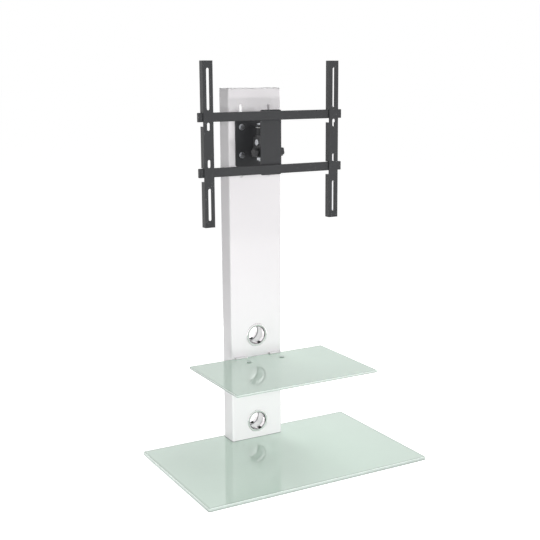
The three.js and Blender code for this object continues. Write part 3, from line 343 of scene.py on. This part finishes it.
def ground_edge(name, bottom, top):
    """The edge of a sheet: bright glass above the deeper line of its satin back."""
    material, tree, shader = new_material(name, Coat_Weight=0.3, Coat_Roughness=0.2, Coat_IOR=1.5)
    place = put(tree, "ShaderNodeTexCoord")
    split = put(tree, "ShaderNodeSeparateXYZ")
    level = put(tree, "ShaderNodeMapRange", From_Min=bottom, From_Max=top)
    ramp = put(tree, "ShaderNodeValToRGB")
    ramp.color_ramp.elements[0].position = EDGE_LINE_START
    ramp.color_ramp.elements[0].color = EDGE_DEEP
    ramp.color_ramp.elements[1].position = EDGE_LINE_END
    ramp.color_ramp.elements[1].color = EDGE_LIGHT
    tone = place_effect(tree, cloud, Depth=0.12, Patch_Scale=45, Low=0.18, High=0.34)
    tree.links.new(place.outputs["Object"], split.inputs["Vector"])
    tree.links.new(split.outputs["Z"], level.inputs["Value"])
    tree.links.new(level.outputs["Result"], ramp.inputs["Fac"])
    tree.links.new(ramp.outputs["Color"], tone.inputs["Color"])
    tree.links.new(tone.outputs["Color"], shader.inputs["Base Color"])
    tree.links.new(tone.outputs["Roughness"], shader.inputs["Roughness"])
    grained(tree, shader, grit=700, relief=0.02 * MILLIMETRE, stretch=(0.15, 0.15, 2.5))
    return material


def drilled(nodes, radius):
    """Gives a hole for each bolt that goes through a sheet."""
    holes = []
    for node in nodes:
        low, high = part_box(node)
        middle = (low + high) / 2
        holes.append(round_hole(middle.x, middle.y, radius))
    return holes


def glass_sheet(name, node, holes, arris, mint):
    """Puts a satin-backed glass sheet in the place of a CAD node."""
    low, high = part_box(node)
    outline = round_cornered(low, high, GLASS_CORNER)
    sheet = sheet_piece(f"{name}_sheet", outline, holes, eased_edge(low.z, high.z, arris))
    face = glass_face(f"{name}_face", low, high, mint)
    edge = ground_edge(f"{name}_edge", low.z, high.z)
    for material in (face, edge, glass_back, arris_with_highlight):
        sheet.data.materials.append(material)
    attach(sheet, "stand")
    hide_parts(node)


base_bolts = [f"base_bolt_{number}" for number in range(1, 5)]
glass_sheet("base", "base_glass", drilled(base_bolts, COLLAR_HOLE), GLASS_ARRIS, BASE_MINT_PAINTED_LIGHTER)

# Feet
# Four turned rubber discs glued to the back of the base glass. Each has a rounded tread,
# a waist that lets it give a little, and a hollow under its middle.

FOOT_STEPS = 64
# The foot's section, in shares of its reach and its height
FOOT_PROFILE = (
    (0.30, 0.12),
    (0.62, 0.12),
    (0.66, 0.02),
    (0.70, 0),
    (0.92, 0),
    (0.98, 0.05),
    (1, 0.14),
    (1, 0.34),
    (0.93, 0.44),
    (0.91, 0.54),
    (0.93, 0.64),
    (1, 0.74),
    (1, 0.95),
    (0.97, 1),
    (0.30, 1),
)
RUBBER_BLACK = (0.035, 0.036, 0.037, 1)


def turned_piece(name, section, centre, axis, steps):
    """A piece turned round an axis. Its section is a closed run of (radius, height) points."""
    bm = bmesh.new()
    turning = Vector((0, 0, 1)).rotation_difference(Vector(axis)).to_matrix()
    rings = []
    for radius, height in section:
        ring = []
        for step in range(steps):
            turn = 2 * math.pi * step / steps
            local = Vector((radius * math.cos(turn), radius * math.sin(turn), height))
            ring.append(bm.verts.new(centre + turning @ local))
        rings.append(ring)
    for here, ring in enumerate(rings):
        band_between(bm, ring, rings[(here + 1) % len(rings)])
    return finished(name, bm)


def dress(piece, material, body, node):
    """Gives a piece its material and body, and hides the CAD node that it stands for."""
    piece.data.materials.clear()
    piece.data.materials.append(material)
    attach(piece, body)
    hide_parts(node)


rubber = finish(
    "rubber", RUBBER_BLACK, depth=0.5, patch=60, rough=(0.62, 0.85),
    grit=2200, relief=0.05 * MILLIMETRE, Specular_IOR_Level=0.35
)

for place in ("front_left", "front_right", "rear_left", "rear_right"):
    foot_low, foot_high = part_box(f"foot_{place}")
    foot_reach = (foot_high.x - foot_low.x) / 2
    foot_height = foot_high.z - foot_low.z
    foot_section = [(foot_reach * out, foot_height * up) for out, up in FOOT_PROFILE]
    foot_centre = Vector((foot_low.x + foot_reach, foot_low.y + foot_reach, foot_low.z))
    foot = turned_piece(f"rubber_foot_{place}", foot_section, foot_centre, (0, 0, 1), FOOT_STEPS)
    dress(foot, rubber, "stand", f"foot_{place}")

# Gaskets, clamp plate and base bolts
# Thin grey rubber keeps the steel off the glass above and below it. A zinc-plated plate under
# the glass spreads the pull of four hexagon bolts, which screw up into the column's foot plate.

BOLT_EDGE = 0.35 * MILLIMETRE
PLATE_EDGE = 0.5 * MILLIMETRE
EDGE_STEPS = 2
SOFT_EDGE_STEPS = 3
EASED_CRISP = math.radians(50)
EASED_FROM = math.radians(40)
FLAT_WITHIN = math.radians(1)
WELD_GAP = MILLIMETRE / 100
RUBBER_GREY = (0.30, 0.305, 0.31, 1)
ZINC = (0.56, 0.575, 0.60, 1)


def shade_evenly(piece):
    """Lets the flats keep their shading beside small rounds."""
    normals = piece.modifiers.new("even_shading", "WEIGHTED_NORMAL")
    normals.keep_sharp = True


def eased_piece(name, node, edge, material, body, steps=EDGE_STEPS):
    """The shape of a CAD node with every sharp edge broken by a small round, in its place."""
    bm = bmesh.new()
    bm.from_mesh(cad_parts[node].data)
    bmesh.ops.remove_doubles(bm, verts=bm.verts, dist=WELD_GAP)
    bmesh.ops.dissolve_limit(bm, angle_limit=FLAT_WITHIN, verts=bm.verts, edges=bm.edges)
    piece = finished(name, bm, EASED_CRISP)
    bevel = piece.modifiers.new("broken_edges", "BEVEL")
    bevel.width = edge
    bevel.segments = steps
    bevel.limit_method = "ANGLE"
    bevel.angle_limit = EASED_FROM
    bevel.use_clamp_overlap = True
    shade_evenly(piece)
    dress(piece, material, body, node)


zinc = finish(
    "zinc", ZINC, depth=0.22, patch=160, rough=(0.24, 0.42),
    grit=1800, relief=0.02 * MILLIMETRE, Metallic=1
)
grey_rubber = finish(
    "grey_rubber", RUBBER_GREY, depth=0.2, patch=60, rough=(0.6, 0.8),
    grit=2200, relief=0.05 * MILLIMETRE, Specular_IOR_Level=0.35
)

for node in ("column_gasket", "base_gasket"):
    eased_piece(f"{node}_rubber", node, BOLT_EDGE, grey_rubber, "stand")
eased_piece("clamp_plate", "base_clamp_plate", PLATE_EDGE, zinc, "stand")
for number in range(1, 5):
    eased_piece(f"hexagon_bolt_{number}", f"base_bolt_{number}", BOLT_EDGE, zinc, "stand")

# Column shell
# One length of 2 mm steel sheet, folded to a box that is open along its back, with its lips
# turned in. It is punched for the cable rings and the mount's slots, then powder-coated white.

COLUMN_WALL = 2 * MILLIMETRE
COLUMN_BEND = 5 * MILLIMETRE
REAR_LIP = 12 * MILLIMETRE
BEND_STEPS = 10
BEND_CRISP = math.radians(30)
SLEEVE_HOLE = 30.3 * MILLIMETRE
SLOT_HALF_WIDTH = 4.3 * MILLIMETRE
SLOT_PLACES = (-45 * MILLIMETRE, 45 * MILLIMETRE)
SLOT_BOTTOM = 825.7 * MILLIMETRE
SLOT_TOP = 1034.3 * MILLIMETRE
CUTTER_OVERRUN = 3 * MILLIMETRE
COAT_WHITE = (0.82, 0.80, 0.815, 1)


def folded_section(low, high, wall, bend, lip):
    """The outline of the folded sheet seen from above, with smooth bends."""
    corners = [
        (low.x + lip, high.y, 0),
        (low.x, high.y, bend),
        (low.x, low.y, bend),
        (high.x, low.y, bend),
        (high.x, high.y, bend),
        (high.x - lip, high.y, 0),
        (high.x - lip, high.y - wall, 0),
        (high.x - wall, high.y - wall, bend - wall),
        (high.x - wall, low.y + wall, bend - wall),
        (low.x + wall, low.y + wall, bend - wall),
        (low.x + wall, high.y - wall, bend - wall),
        (low.x + lip, high.y - wall, 0),
    ]
    outline = []
    for index, (x, y, radius) in enumerate(corners):
        here = Vector((x, y))
        if not radius:
            outline.append(here)
            continue
        before = (Vector(corners[index - 1][:2]) - here).normalized()
        after = (Vector(corners[(index + 1) % len(corners)][:2]) - here).normalized()
        centre = here + (before + after) * radius
        for step in range(BEND_STEPS + 1):
            turn = step / BEND_STEPS * math.pi / 2
            outline.append(centre - radius * (after * math.cos(turn) + before * math.sin(turn)))
    return outline


def closed_prism(name, near, far, crisp):
    """A prism closed between two like loops of points."""
    bm = bmesh.new()
    near_loop = [bm.verts.new(point) for point in near]
    far_loop = [bm.verts.new(point) for point in far]
    band_between(bm, near_loop, far_loop)
    bm.faces.new(near_loop)
    bm.faces.new(far_loop)
    return finished(name, bm, crisp)


def punch(piece, cutters):
    """Cuts the holes that a press would punch, and removes the punches."""
    for cutter in cutters:
        hole = piece.modifiers.new("hole", "BOOLEAN")
        hole.operation = "DIFFERENCE"
        hole.solver = "EXACT"
        hole.object = cutter
    shape = piece.evaluated_get(bpy.context.evaluated_depsgraph_get())
    punched = bpy.data.meshes.new_from_object(shape)
    piece.modifiers.clear()
    piece.data = punched
    punched.shade_smooth()
    punched.set_sharp_from_angle(angle=BEND_CRISP)
    for cutter in cutters:
        bpy.data.objects.remove(cutter)
    shade_evenly(piece)


def punch_through(outline, front):
    """A punch with that outline, given as (x, z), standing through the column's front wall."""
    near = [(x, front - CUTTER_OVERRUN, z) for x, z in outline]
    far = [(x, front + COLUMN_WALL + CUTTER_OVERRUN, z) for x, z in outline]
    return closed_prism("punch", near, far, CRISP_EDGE)


def slot_outline(x, bottom, top, half_width):
    """A slot with round ends."""
    points = []
    for middle, start in ((top - half_width, 0), (bottom + half_width, math.pi)):
        for step in range(HOLE_STEPS // 2 + 1):
            turn = start + step / (HOLE_STEPS // 2) * math.pi
            points.append((x + half_width * math.cos(turn), middle + half_width * math.sin(turn)))
    return points


white_coat = finish(
    "white_powder_coat", COAT_WHITE, depth=0.03, patch=14, rough=(0.26, 0.36),
    grit=620, relief=0.05 * MILLIMETRE
)

shell_low, shell_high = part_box("column_shell")
fold = folded_section(shell_low, shell_high, COLUMN_WALL, COLUMN_BEND, REAR_LIP)
column_foot = [(point.x, point.y, shell_low.z) for point in fold]
column_top = [(point.x, point.y, shell_high.z) for point in fold]
column_shell = closed_prism("column_box", column_foot, column_top, BEND_CRISP)
punches = []
for level in ("lower", "upper"):
    ring_low, ring_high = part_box(f"front_ring_{level}")
    ring_middle = (ring_low + ring_high) / 2
    ring_hole = round_hole(ring_middle.x, ring_middle.z, SLEEVE_HOLE)
    punches.append(punch_through(ring_hole(0), shell_low.y))
for x in SLOT_PLACES:
    punches.append(punch_through(slot_outline(x, SLOT_BOTTOM, SLOT_TOP, SLOT_HALF_WIDTH), shell_low.y))
punch(column_shell, punches)
dress(column_shell, white_coat, "stand", "column_shell")

# Foot plate, cap and rear cover
# The steel foot plate is welded inside the column's foot and takes the base bolts. The cap and
# the cover that clips into the back are moulded from white plastic, which has a fine even
# texture and lets a little light through.

PLASTIC_WHITE = (0.92, 0.92, 0.925, 1)
CAP_EDGE = 0.8 * MILLIMETRE

white_plastic = finish(
    "white_plastic", PLASTIC_WHITE, depth=0.03, patch=18, rough=(0.42, 0.52),
    grit=1500, relief=0.04 * MILLIMETRE,
    Subsurface_Weight=1, Subsurface_Radius=(1, 1, 1), Subsurface_Scale=15 * MILLIMETRE
)

eased_piece("foot_plate", "column_foot_plate", BOLT_EDGE, zinc, "stand")
eased_piece("top_cap", "column_cap", CAP_EDGE, white_plastic, "stand", SOFT_EDGE_STEPS)
eased_piece("rear_panel", "rear_cover", PLATE_EDGE, white_plastic, "rear_cover")

# Cable rings
# Four turned and chrome-plated rings line the cable holes, two in the column's front and two in
# the rear cover. Each flange rolls over a satin lip into its bore. Arcs of the lip are painted
# near-black as painted dark reflections, and two near-black spots near the foot of the bore are
# painted dark spots; the sleeve behind is moulded.

RING_FLANGE = 34.5 * MILLIMETRE
RING_SLEEVE = 30 * MILLIMETRE
RING_BORE = 26 * MILLIMETRE
RING_PROUD = 2 * MILLIMETRE
RING_RIM = 0.6 * MILLIMETRE
RING_DEPTH = 12 * MILLIMETRE
RING_CROWN = 2.2 * MILLIMETRE
RING_DISH = 0.15 * MILLIMETRE
RING_MOUTH = 2.2 * MILLIMETRE
RING_SEAT = 0.3 * MILLIMETRE
RING_STEPS = 128
CROWN_STEPS = 6
BODY_BANDS = 3
RIM_POINTS = 5
DISH_POINTS = 2
MOUTH_START = RIM_POINTS + CROWN_STEPS + DISH_POINTS
CHROME = (0.93, 0.90, 0.915, 1)
SATIN_LIP = (0.40, 0.40, 0.405, 1)
# Painted dark reflections: near-black metal on arcs of the lip, standing in for the dark things the chrome
# would reflect
DARK_REFLECTION_TONE = (0.06, 0.06, 0.061, 1)
# Painted dark spots: dull near-black on two arcs at the foot of the bore, standing in for dark reflections
# there
DARK_SPOT_TONE = (0.008, 0.008, 0.008, 1)
RING_BODY = (0.42, 0.42, 0.43, 1)
# Arcs round the bore, in degrees from its top
DARK_REFLECTION_ARCS = ((26, 64), (84, 110), (252, 286))
DARK_SPOT_ARCS = ((150, 172), (212, 238))

chrome = finish("chrome", CHROME, depth=0.03, patch=90, rough=(0.03, 0.07), Metallic=1)
satin_lip = finish("satin_lip", SATIN_LIP, depth=0.1, patch=60, rough=(0.15, 0.25), Metallic=1)
painted_dark_reflection = finish("painted_dark_reflection", DARK_REFLECTION_TONE, depth=4, patch=60, rough=(0.10, 0.2), Metallic=1)
painted_dark_spot = finish("painted_dark_spot", DARK_SPOT_TONE, depth=0.1, patch=60, rough=(0.8, 0.9))
ring_body = finish("ring_body", RING_BODY, depth=0.05, patch=60, rough=(0.3, 0.4))
ring_finishes = (chrome, ring_body, satin_lip, painted_dark_reflection, painted_dark_spot)


def ring_section():
    """A ring's section: sleeve, flat underside, thin rim, soft crown, dished face and rolled mouth."""
    section = [
        (RING_BORE, -RING_DEPTH),
        (RING_SLEEVE, -RING_DEPTH),
        (RING_SLEEVE, 0),
        (RING_FLANGE, 0),
        (RING_FLANGE, RING_RIM),
    ]
    for step in range(1, CROWN_STEPS + 1):
        turn = step / CROWN_STEPS * math.pi / 2
        radius = RING_FLANGE - RING_CROWN * (1 - math.cos(turn))
        section.append((radius, RING_RIM + (RING_PROUD - RING_RIM) * math.sin(turn)))
    section.append((RING_FLANGE - RING_CROWN - RING_SEAT, RING_PROUD))
    section.append((RING_BORE + RING_MOUTH + RING_SEAT, RING_PROUD - RING_DISH))
    for step in range(CROWN_STEPS + 1):
        turn = step / CROWN_STEPS * math.pi / 2
        radius = RING_BORE + RING_MOUTH * (1 - math.sin(turn))
        section.append((radius, RING_PROUD - RING_DISH - RING_MOUTH * (1 - math.cos(turn))))
    return section


def in_arcs(turn, arcs):
    """Whether an angle round the bore lies in one of the arcs."""
    return any(start <= turn <= end for start, end in arcs)


for level in ("lower", "upper"):
    for side, body, axis in (("front", "stand", (0, -1, 0)), ("rear", "rear_cover", (0, 1, 0))):
        ring_low, ring_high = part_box(f"{side}_ring_{level}")
        seat_y = ring_low.y + RING_PROUD if side == "front" else ring_high.y - RING_PROUD
        ring_centre = Vector(((ring_low.x + ring_high.x) / 2, seat_y, (ring_low.z + ring_high.z) / 2))
        ring = turned_piece(f"{side}_cable_ring_{level}", ring_section(), ring_centre, axis, RING_STEPS)
        dress(ring, chrome, body, f"{side}_ring_{level}")
        for material in ring_finishes[1:]:
            ring.data.materials.append(material)
        for face in ring.data.polygons:
            band = face.index // RING_STEPS
            reach = face.center - ring_centre
            turn = math.degrees(math.atan2(reach.x, reach.z)) % 360
            shown = chrome
            if band < BODY_BANDS:
                shown = ring_body
            if MOUTH_START <= band < MOUTH_START + CROWN_STEPS:
                # painted dark reflections on arcs of the lip
                shown = painted_dark_reflection if in_arcs(turn, DARK_REFLECTION_ARCS) else satin_lip
            # painted dark spots at the foot of the bore
            if band >= MOUTH_START and in_arcs(turn, DARK_SPOT_ARCS):
                shown = painted_dark_spot
            face.material_index = ring_finishes.index(shown)

# Shelf brackets, pads and screws
# Two tapered arms of white-coated cast metal reach under the shelf glass, each with a lip that
# holds down its rear edge. Rubber pads lie on them, and two screws in the column hold each one.

BRACKET_EDGE = 0.9 * MILLIMETRE

for side in ("left", "right"):
    bracket_node = f"shelf_bracket_{side}"
    eased_piece(
        f"bracket_{side}", bracket_node, BRACKET_EDGE, white_coat, "stand", SOFT_EDGE_STEPS
    )
    eased_piece(f"pad_{side}", f"shelf_pad_{side}", BOLT_EDGE, rubber, "stand")
for number in range(1, 5):
    screw_node = f"bracket_screw_{number}"
    eased_piece(f"socket_screw_{number}", screw_node, BOLT_EDGE, zinc, "stand")

# Shelf glass
# A thinner sheet of the same satin-backed glass, 6 mm thick, drilled twice near its rear edge
# for the bolts that stop it sliding off the brackets.

SHELF_BOLT_HOLE = 3.3 * MILLIMETRE
SHELF_ARRIS = 0.7 * MILLIMETRE
# Painted shade: the shelf's mint is toned a little darker than the base's, though both are the same glass
SHELF_MINT_PAINTED_DARKER = (0.54, 0.73, 0.605, 1)

shelf_bolts = ("shelf_bolt_left", "shelf_bolt_right")
glass_sheet("shelf", "shelf_glass", drilled(shelf_bolts, SHELF_BOLT_HOLE), SHELF_ARRIS, SHELF_MINT_PAINTED_DARKER)

# Shelf bolts
# Two low bolts with flat round caps stop the shelf glass from sliding off its brackets. The caps
# are steel with a thin grey-green coat, darker than the glass round them.

CAP_COAT = (0.42, 0.50, 0.455, 1)

cap_coat = finish(
    "dark_cap_coat", CAP_COAT, depth=0.2, patch=200, rough=(0.25, 0.4),
    grit=1800, relief=0.02 * MILLIMETRE, Metallic=0.4
)
for side in ("left", "right"):
    bolt_node = f"shelf_bolt_{side}"
    eased_piece(f"cap_bolt_{side}", bolt_node, BOLT_EDGE, cap_coat, "stand", SOFT_EDGE_STEPS)

# Mount carriage
# A black-coated steel plate that slides up and down the column. Four flanged bolts run in the
# column's slots and pull it against two zinc-plated bars inside; its lugs carry the swivel pin.

COAT_BLACK = (0.030, 0.031, 0.033, 1)
NYLON = (0.72, 0.71, 0.67, 1)

black_coat = finish(
    "black_powder_coat", COAT_BLACK, depth=0.25, patch=14, rough=(0.36, 0.5),
    grit=620, relief=0.09 * MILLIMETRE
)
nylon = finish(
    "nylon", NYLON, depth=0.06, patch=80, rough=(0.4, 0.55),
    grit=1600, relief=0.03 * MILLIMETRE, Subsurface_Weight=0.1
)

eased_piece("sliding_plate", "mount_carriage", PLATE_EDGE, black_coat, "mount_carriage")
for number in range(1, 5):
    bolt_node = f"carriage_bolt_{number}"
    eased_piece(f"flange_bolt_{number}", bolt_node, BOLT_EDGE, zinc, "mount_carriage")
for side in ("left", "right"):
    bar_node = f"clamp_bar_{side}"
    eased_piece(f"bar_{side}", bar_node, PLATE_EDGE, zinc, "mount_carriage")
for node, piece_name in (("swivel_pin", "pivot_pin"), ("swivel_nut", "lock_nut")):
    eased_piece(piece_name, node, BOLT_EDGE, zinc, "mount_carriage")
for level in ("upper", "lower"):
    washer_node = f"swivel_washer_{level}"
    eased_piece(f"nylon_washer_{level}", washer_node, BOLT_EDGE, nylon, "mount_carriage")

# Swivel head
# A black-coated barrel turns on the pin between the lugs. Two cheeks welded to it reach forward
# to the tilt bolts and carry the threads of the tilt knobs.

eased_piece("turning_head", "swivel_head", PLATE_EDGE, black_coat, "swivel_head")
for side in ("left", "right"):
    eased_piece(f"pivot_bolt_{side}", f"tilt_bolt_{side}", BOLT_EDGE, zinc, "swivel_head")

# Tilt bracket, rails and end caps
# A folded steel bracket tilts on the head's bolts. Two flat tubes are welded across its front,
# coated black with it, and closed at their ends by moulded caps.

PLASTIC_BLACK = (0.028, 0.028, 0.030, 1)

black_plastic = finish(
    "black_plastic", PLASTIC_BLACK, depth=0.2, patch=40, rough=(0.42, 0.58),
    grit=1500, relief=0.06 * MILLIMETRE
)

eased_piece("tilting_bracket", "tilt_bracket", PLATE_EDGE, black_coat, "tilt_frame")
for level in ("lower", "upper"):
    eased_piece(f"flat_tube_{level}", f"rail_{level}", BOLT_EDGE, black_coat, "tilt_frame")
    for side in ("left", "right"):
        end = f"{level}_{side}"
        eased_piece(
            f"end_cap_{end}", f"rail_cap_{end}", BOLT_EDGE, black_plastic, "tilt_frame"
        )

# Tilt knobs
# Two moulded black star knobs on steel studs, which screw into the head's cheeks. Turned by
# hand, they press on the bracket and lock its tilt.

KNOB_EDGE = 1.2 * MILLIMETRE

for side in ("left", "right"):
    knob_node = f"tilt_knob_{side}"
    eased_piece(
        f"star_knob_{side}", knob_node, KNOB_EDGE, black_plastic, knob_node, SOFT_EDGE_STEPS
    )

# Slotted arms
# Two black-coated steel channels hook over the rails and slide along them to suit hole patterns.
# Each has slots for mounting screws and a thumb screw at its foot that stops it lifting off.

for side in ("left", "right"):
    arm_node = f"tv_arm_{side}"
    eased_piece(f"slotted_arm_{side}", arm_node, BOLT_EDGE, black_coat, arm_node)
    eased_piece(f"thumb_screw_{side}", f"arm_screw_{side}", BOLT_EDGE, zinc, arm_node)

# Floor
# A plain white studio floor. It shows white to the eye and to polished surfaces, and still
# takes the stand's shadow.

FLOOR_HALF = 60
FLOOR_TONE = (0.50, 0.50, 0.50, 1)
FLOOR_GLOW = 0.94


def white_to_the_eye(tree, glow):
    """How strongly something glows to the eye, to polish and to glass, and not at all as a lamp."""
    path = put(tree, "ShaderNodeLightPath")
    seen = put(tree, "ShaderNodeMath", {"operation": "ADD", "use_clamp": True})
    shown = put(tree, "ShaderNodeMath", {"operation": "ADD", "use_clamp": True})
    strength = put(tree, "ShaderNodeMath", {"operation": "MULTIPLY"})
    strength.inputs[1].default_value = glow
    tree.links.new(path.outputs["Is Camera Ray"], seen.inputs[0])
    tree.links.new(path.outputs["Is Glossy Ray"], seen.inputs[1])
    tree.links.new(seen.outputs["Value"], shown.inputs[0])
    tree.links.new(path.outputs["Is Transmission Ray"], shown.inputs[1])
    tree.links.new(shown.outputs["Value"], strength.inputs[0])
    return strength.outputs["Value"]


def flat_card(name, low, high):
    """One flat face between two corners."""
    bm = bmesh.new()
    corners = ((low.x, low.y), (high.x, low.y), (high.x, high.y), (low.x, high.y))
    bm.faces.new([bm.verts.new((x, y, low.z)) for x, y in corners])
    return finished(name, bm)


floor_low = Vector((-FLOOR_HALF, -FLOOR_HALF, 0))
floor_high = Vector((FLOOR_HALF, FLOOR_HALF, 0))
studio_floor = flat_card("studio_floor", floor_low, floor_high)
floor_paint, floor_tree, floor_shader = new_material(
    "studio_floor_paint",
    Base_Color=FLOOR_TONE,
    Roughness=0.9,
    Specular_IOR_Level=0,
    Emission_Color=(1, 1, 1, 1),
)
floor_tree.links.new(white_to_the_eye(floor_tree, FLOOR_GLOW), floor_shader.inputs["Emission Strength"])
studio_floor.data.materials.append(floor_paint)

# Studio light
# A white room, and seven lamps: a broad one overhead, one in front to the left, one on the right
# and one behind. Three weaker ones reach under the shelf: in front of the column, beside its foot
# on the left, and far off in front, close to the floor.

ROOM_LEVEL = 0.12
LAMP_AIM = Vector((0, 0.1, 0.35))
KEY_AIM = Vector((0, 0.16, 0.31))
LOW_AIM = Vector((0, 0.15, 0.05))

KEY_PLACE = Vector((-0.15, -0.85, 0.33))
KEY_POWER = 1.0
KEY_SIZE = 0.15

FILL_PLACE = Vector((-1.45, -2.7, 1.05))
FILL_POWER = 54
FILL_SIZE = 0.7

TOP_PLACE = Vector((1.8, -0.2, 3.0))
TOP_POWER = 62
TOP_SIZE = 4.0

SIDE_PLACE = Vector((2.6, -0.8, 0.9))
SIDE_POWER = 10
SIDE_SIZE = 1.2

BACK_PLACE = Vector((0.25, 1.7, 0.55))
BACK_POWER = 22
BACK_SIZE = 0.8

LOW_PLACE = Vector((-0.85, 0.04, 0.07))
LOW_POWER = 2.5
LOW_SIZE = 0.3

FAR_PLACE = Vector((1.0, -2.6, 0.13))
FAR_POWER = 17
FAR_SIZE = 0.2
FAR_TINT = (1, 0.97, 0.985)

room = bpy.data.worlds.new("studio_room")
bpy.context.scene.world = room
room.use_nodes = True
room_tree = room.node_tree
room_light = room_tree.nodes["Background"]
room_light.inputs["Color"].default_value = (1, 1, 1, 1)
room_level = put(room_tree, "ShaderNodeMath", {"operation": "ADD"})
room_level.inputs[1].default_value = ROOM_LEVEL
room_tree.links.new(white_to_the_eye(room_tree, 1 - ROOM_LEVEL), room_level.inputs[0])
room_tree.links.new(room_level.outputs["Value"], room_light.inputs["Strength"])


def soft_lamp(name, place, power, size, aim=LAMP_AIM, tint=(1, 1, 1)):
    """A square soft box aimed at the stand."""
    lamp = bpy.data.lights.new(name, "AREA")
    lamp.energy = power
    lamp.color = tint
    lamp.size = size
    holder = bpy.data.objects.new(name, lamp)
    holder.location = place
    holder.visible_camera = False
    holder.visible_glossy = False
    holder.rotation_euler = (aim - place).to_track_quat("-Z", "Y").to_euler()
    bpy.context.collection.objects.link(holder)


soft_lamp("key_lamp", KEY_PLACE, KEY_POWER, KEY_SIZE, KEY_AIM)
soft_lamp("fill_lamp", FILL_PLACE, FILL_POWER, FILL_SIZE)
soft_lamp("top_lamp", TOP_PLACE, TOP_POWER, TOP_SIZE)
soft_lamp("side_lamp", SIDE_PLACE, SIDE_POWER, SIDE_SIZE)
soft_lamp("back_lamp", BACK_PLACE, BACK_POWER, BACK_SIZE)
soft_lamp("low_lamp", LOW_PLACE, LOW_POWER, LOW_SIZE, LOW_AIM)
soft_lamp("far_lamp", FAR_PLACE, FAR_POWER, FAR_SIZE, LOW_AIM, FAR_TINT)

# Dark card
# A black card hung over the cable rings, which gives their chrome its dark accents. Only
# polished surfaces show it.

CARD_LOW = Vector((-0.5, -0.15, 0.62))
CARD_HIGH = Vector((0.5, 0.06, 0.62))
CARD_TONE = (0.01, 0.01, 0.01, 1)

dark_card = flat_card("dark_card", CARD_LOW, CARD_HIGH)
card_paint = finish("dark_card_paint", CARD_TONE, depth=0.1, patch=5, rough=(0.9, 1), Specular_IOR_Level=0)
dark_card.data.materials.append(card_paint)
dark_card.visible_camera = False
dark_card.visible_diffuse = False
dark_card.visible_shadow = False

# Camera
# Set where the photograph was taken from: in front of the stand and to its left, at about the
# height of the column's top, and looking a little down.

CAMERA_PLACE = Vector((-1.34086, -2.33695, 1.11779))
CAMERA_YAW = math.radians(29.0914)
CAMERA_PITCH = math.radians(-11.3947)
CAMERA_ROLL = math.radians(-0.3626)
CAMERA_LENS = 64.742

ahead = Vector(
    (
        math.sin(CAMERA_YAW) * math.cos(CAMERA_PITCH),
        math.cos(CAMERA_YAW) * math.cos(CAMERA_PITCH),
        math.sin(CAMERA_PITCH),
    )
)
level_right = Vector((math.cos(CAMERA_YAW), -math.sin(CAMERA_YAW), 0))
level_up = level_right.cross(ahead)
camera_right = math.cos(CAMERA_ROLL) * level_right + math.sin(CAMERA_ROLL) * level_up
camera_up = math.cos(CAMERA_ROLL) * level_up - math.sin(CAMERA_ROLL) * level_right
camera = bpy.data.objects.new("camera", bpy.data.cameras.new("camera"))
camera.data.lens = CAMERA_LENS
turning = Matrix((camera_right, camera_up, -ahead)).transposed().to_4x4()
camera.matrix_world = Matrix.Translation(CAMERA_PLACE) @ turning
bpy.context.collection.objects.link(camera)
bpy.context.scene.camera = camera
bpy.context.scene.view_settings.view_transform = "Standard"
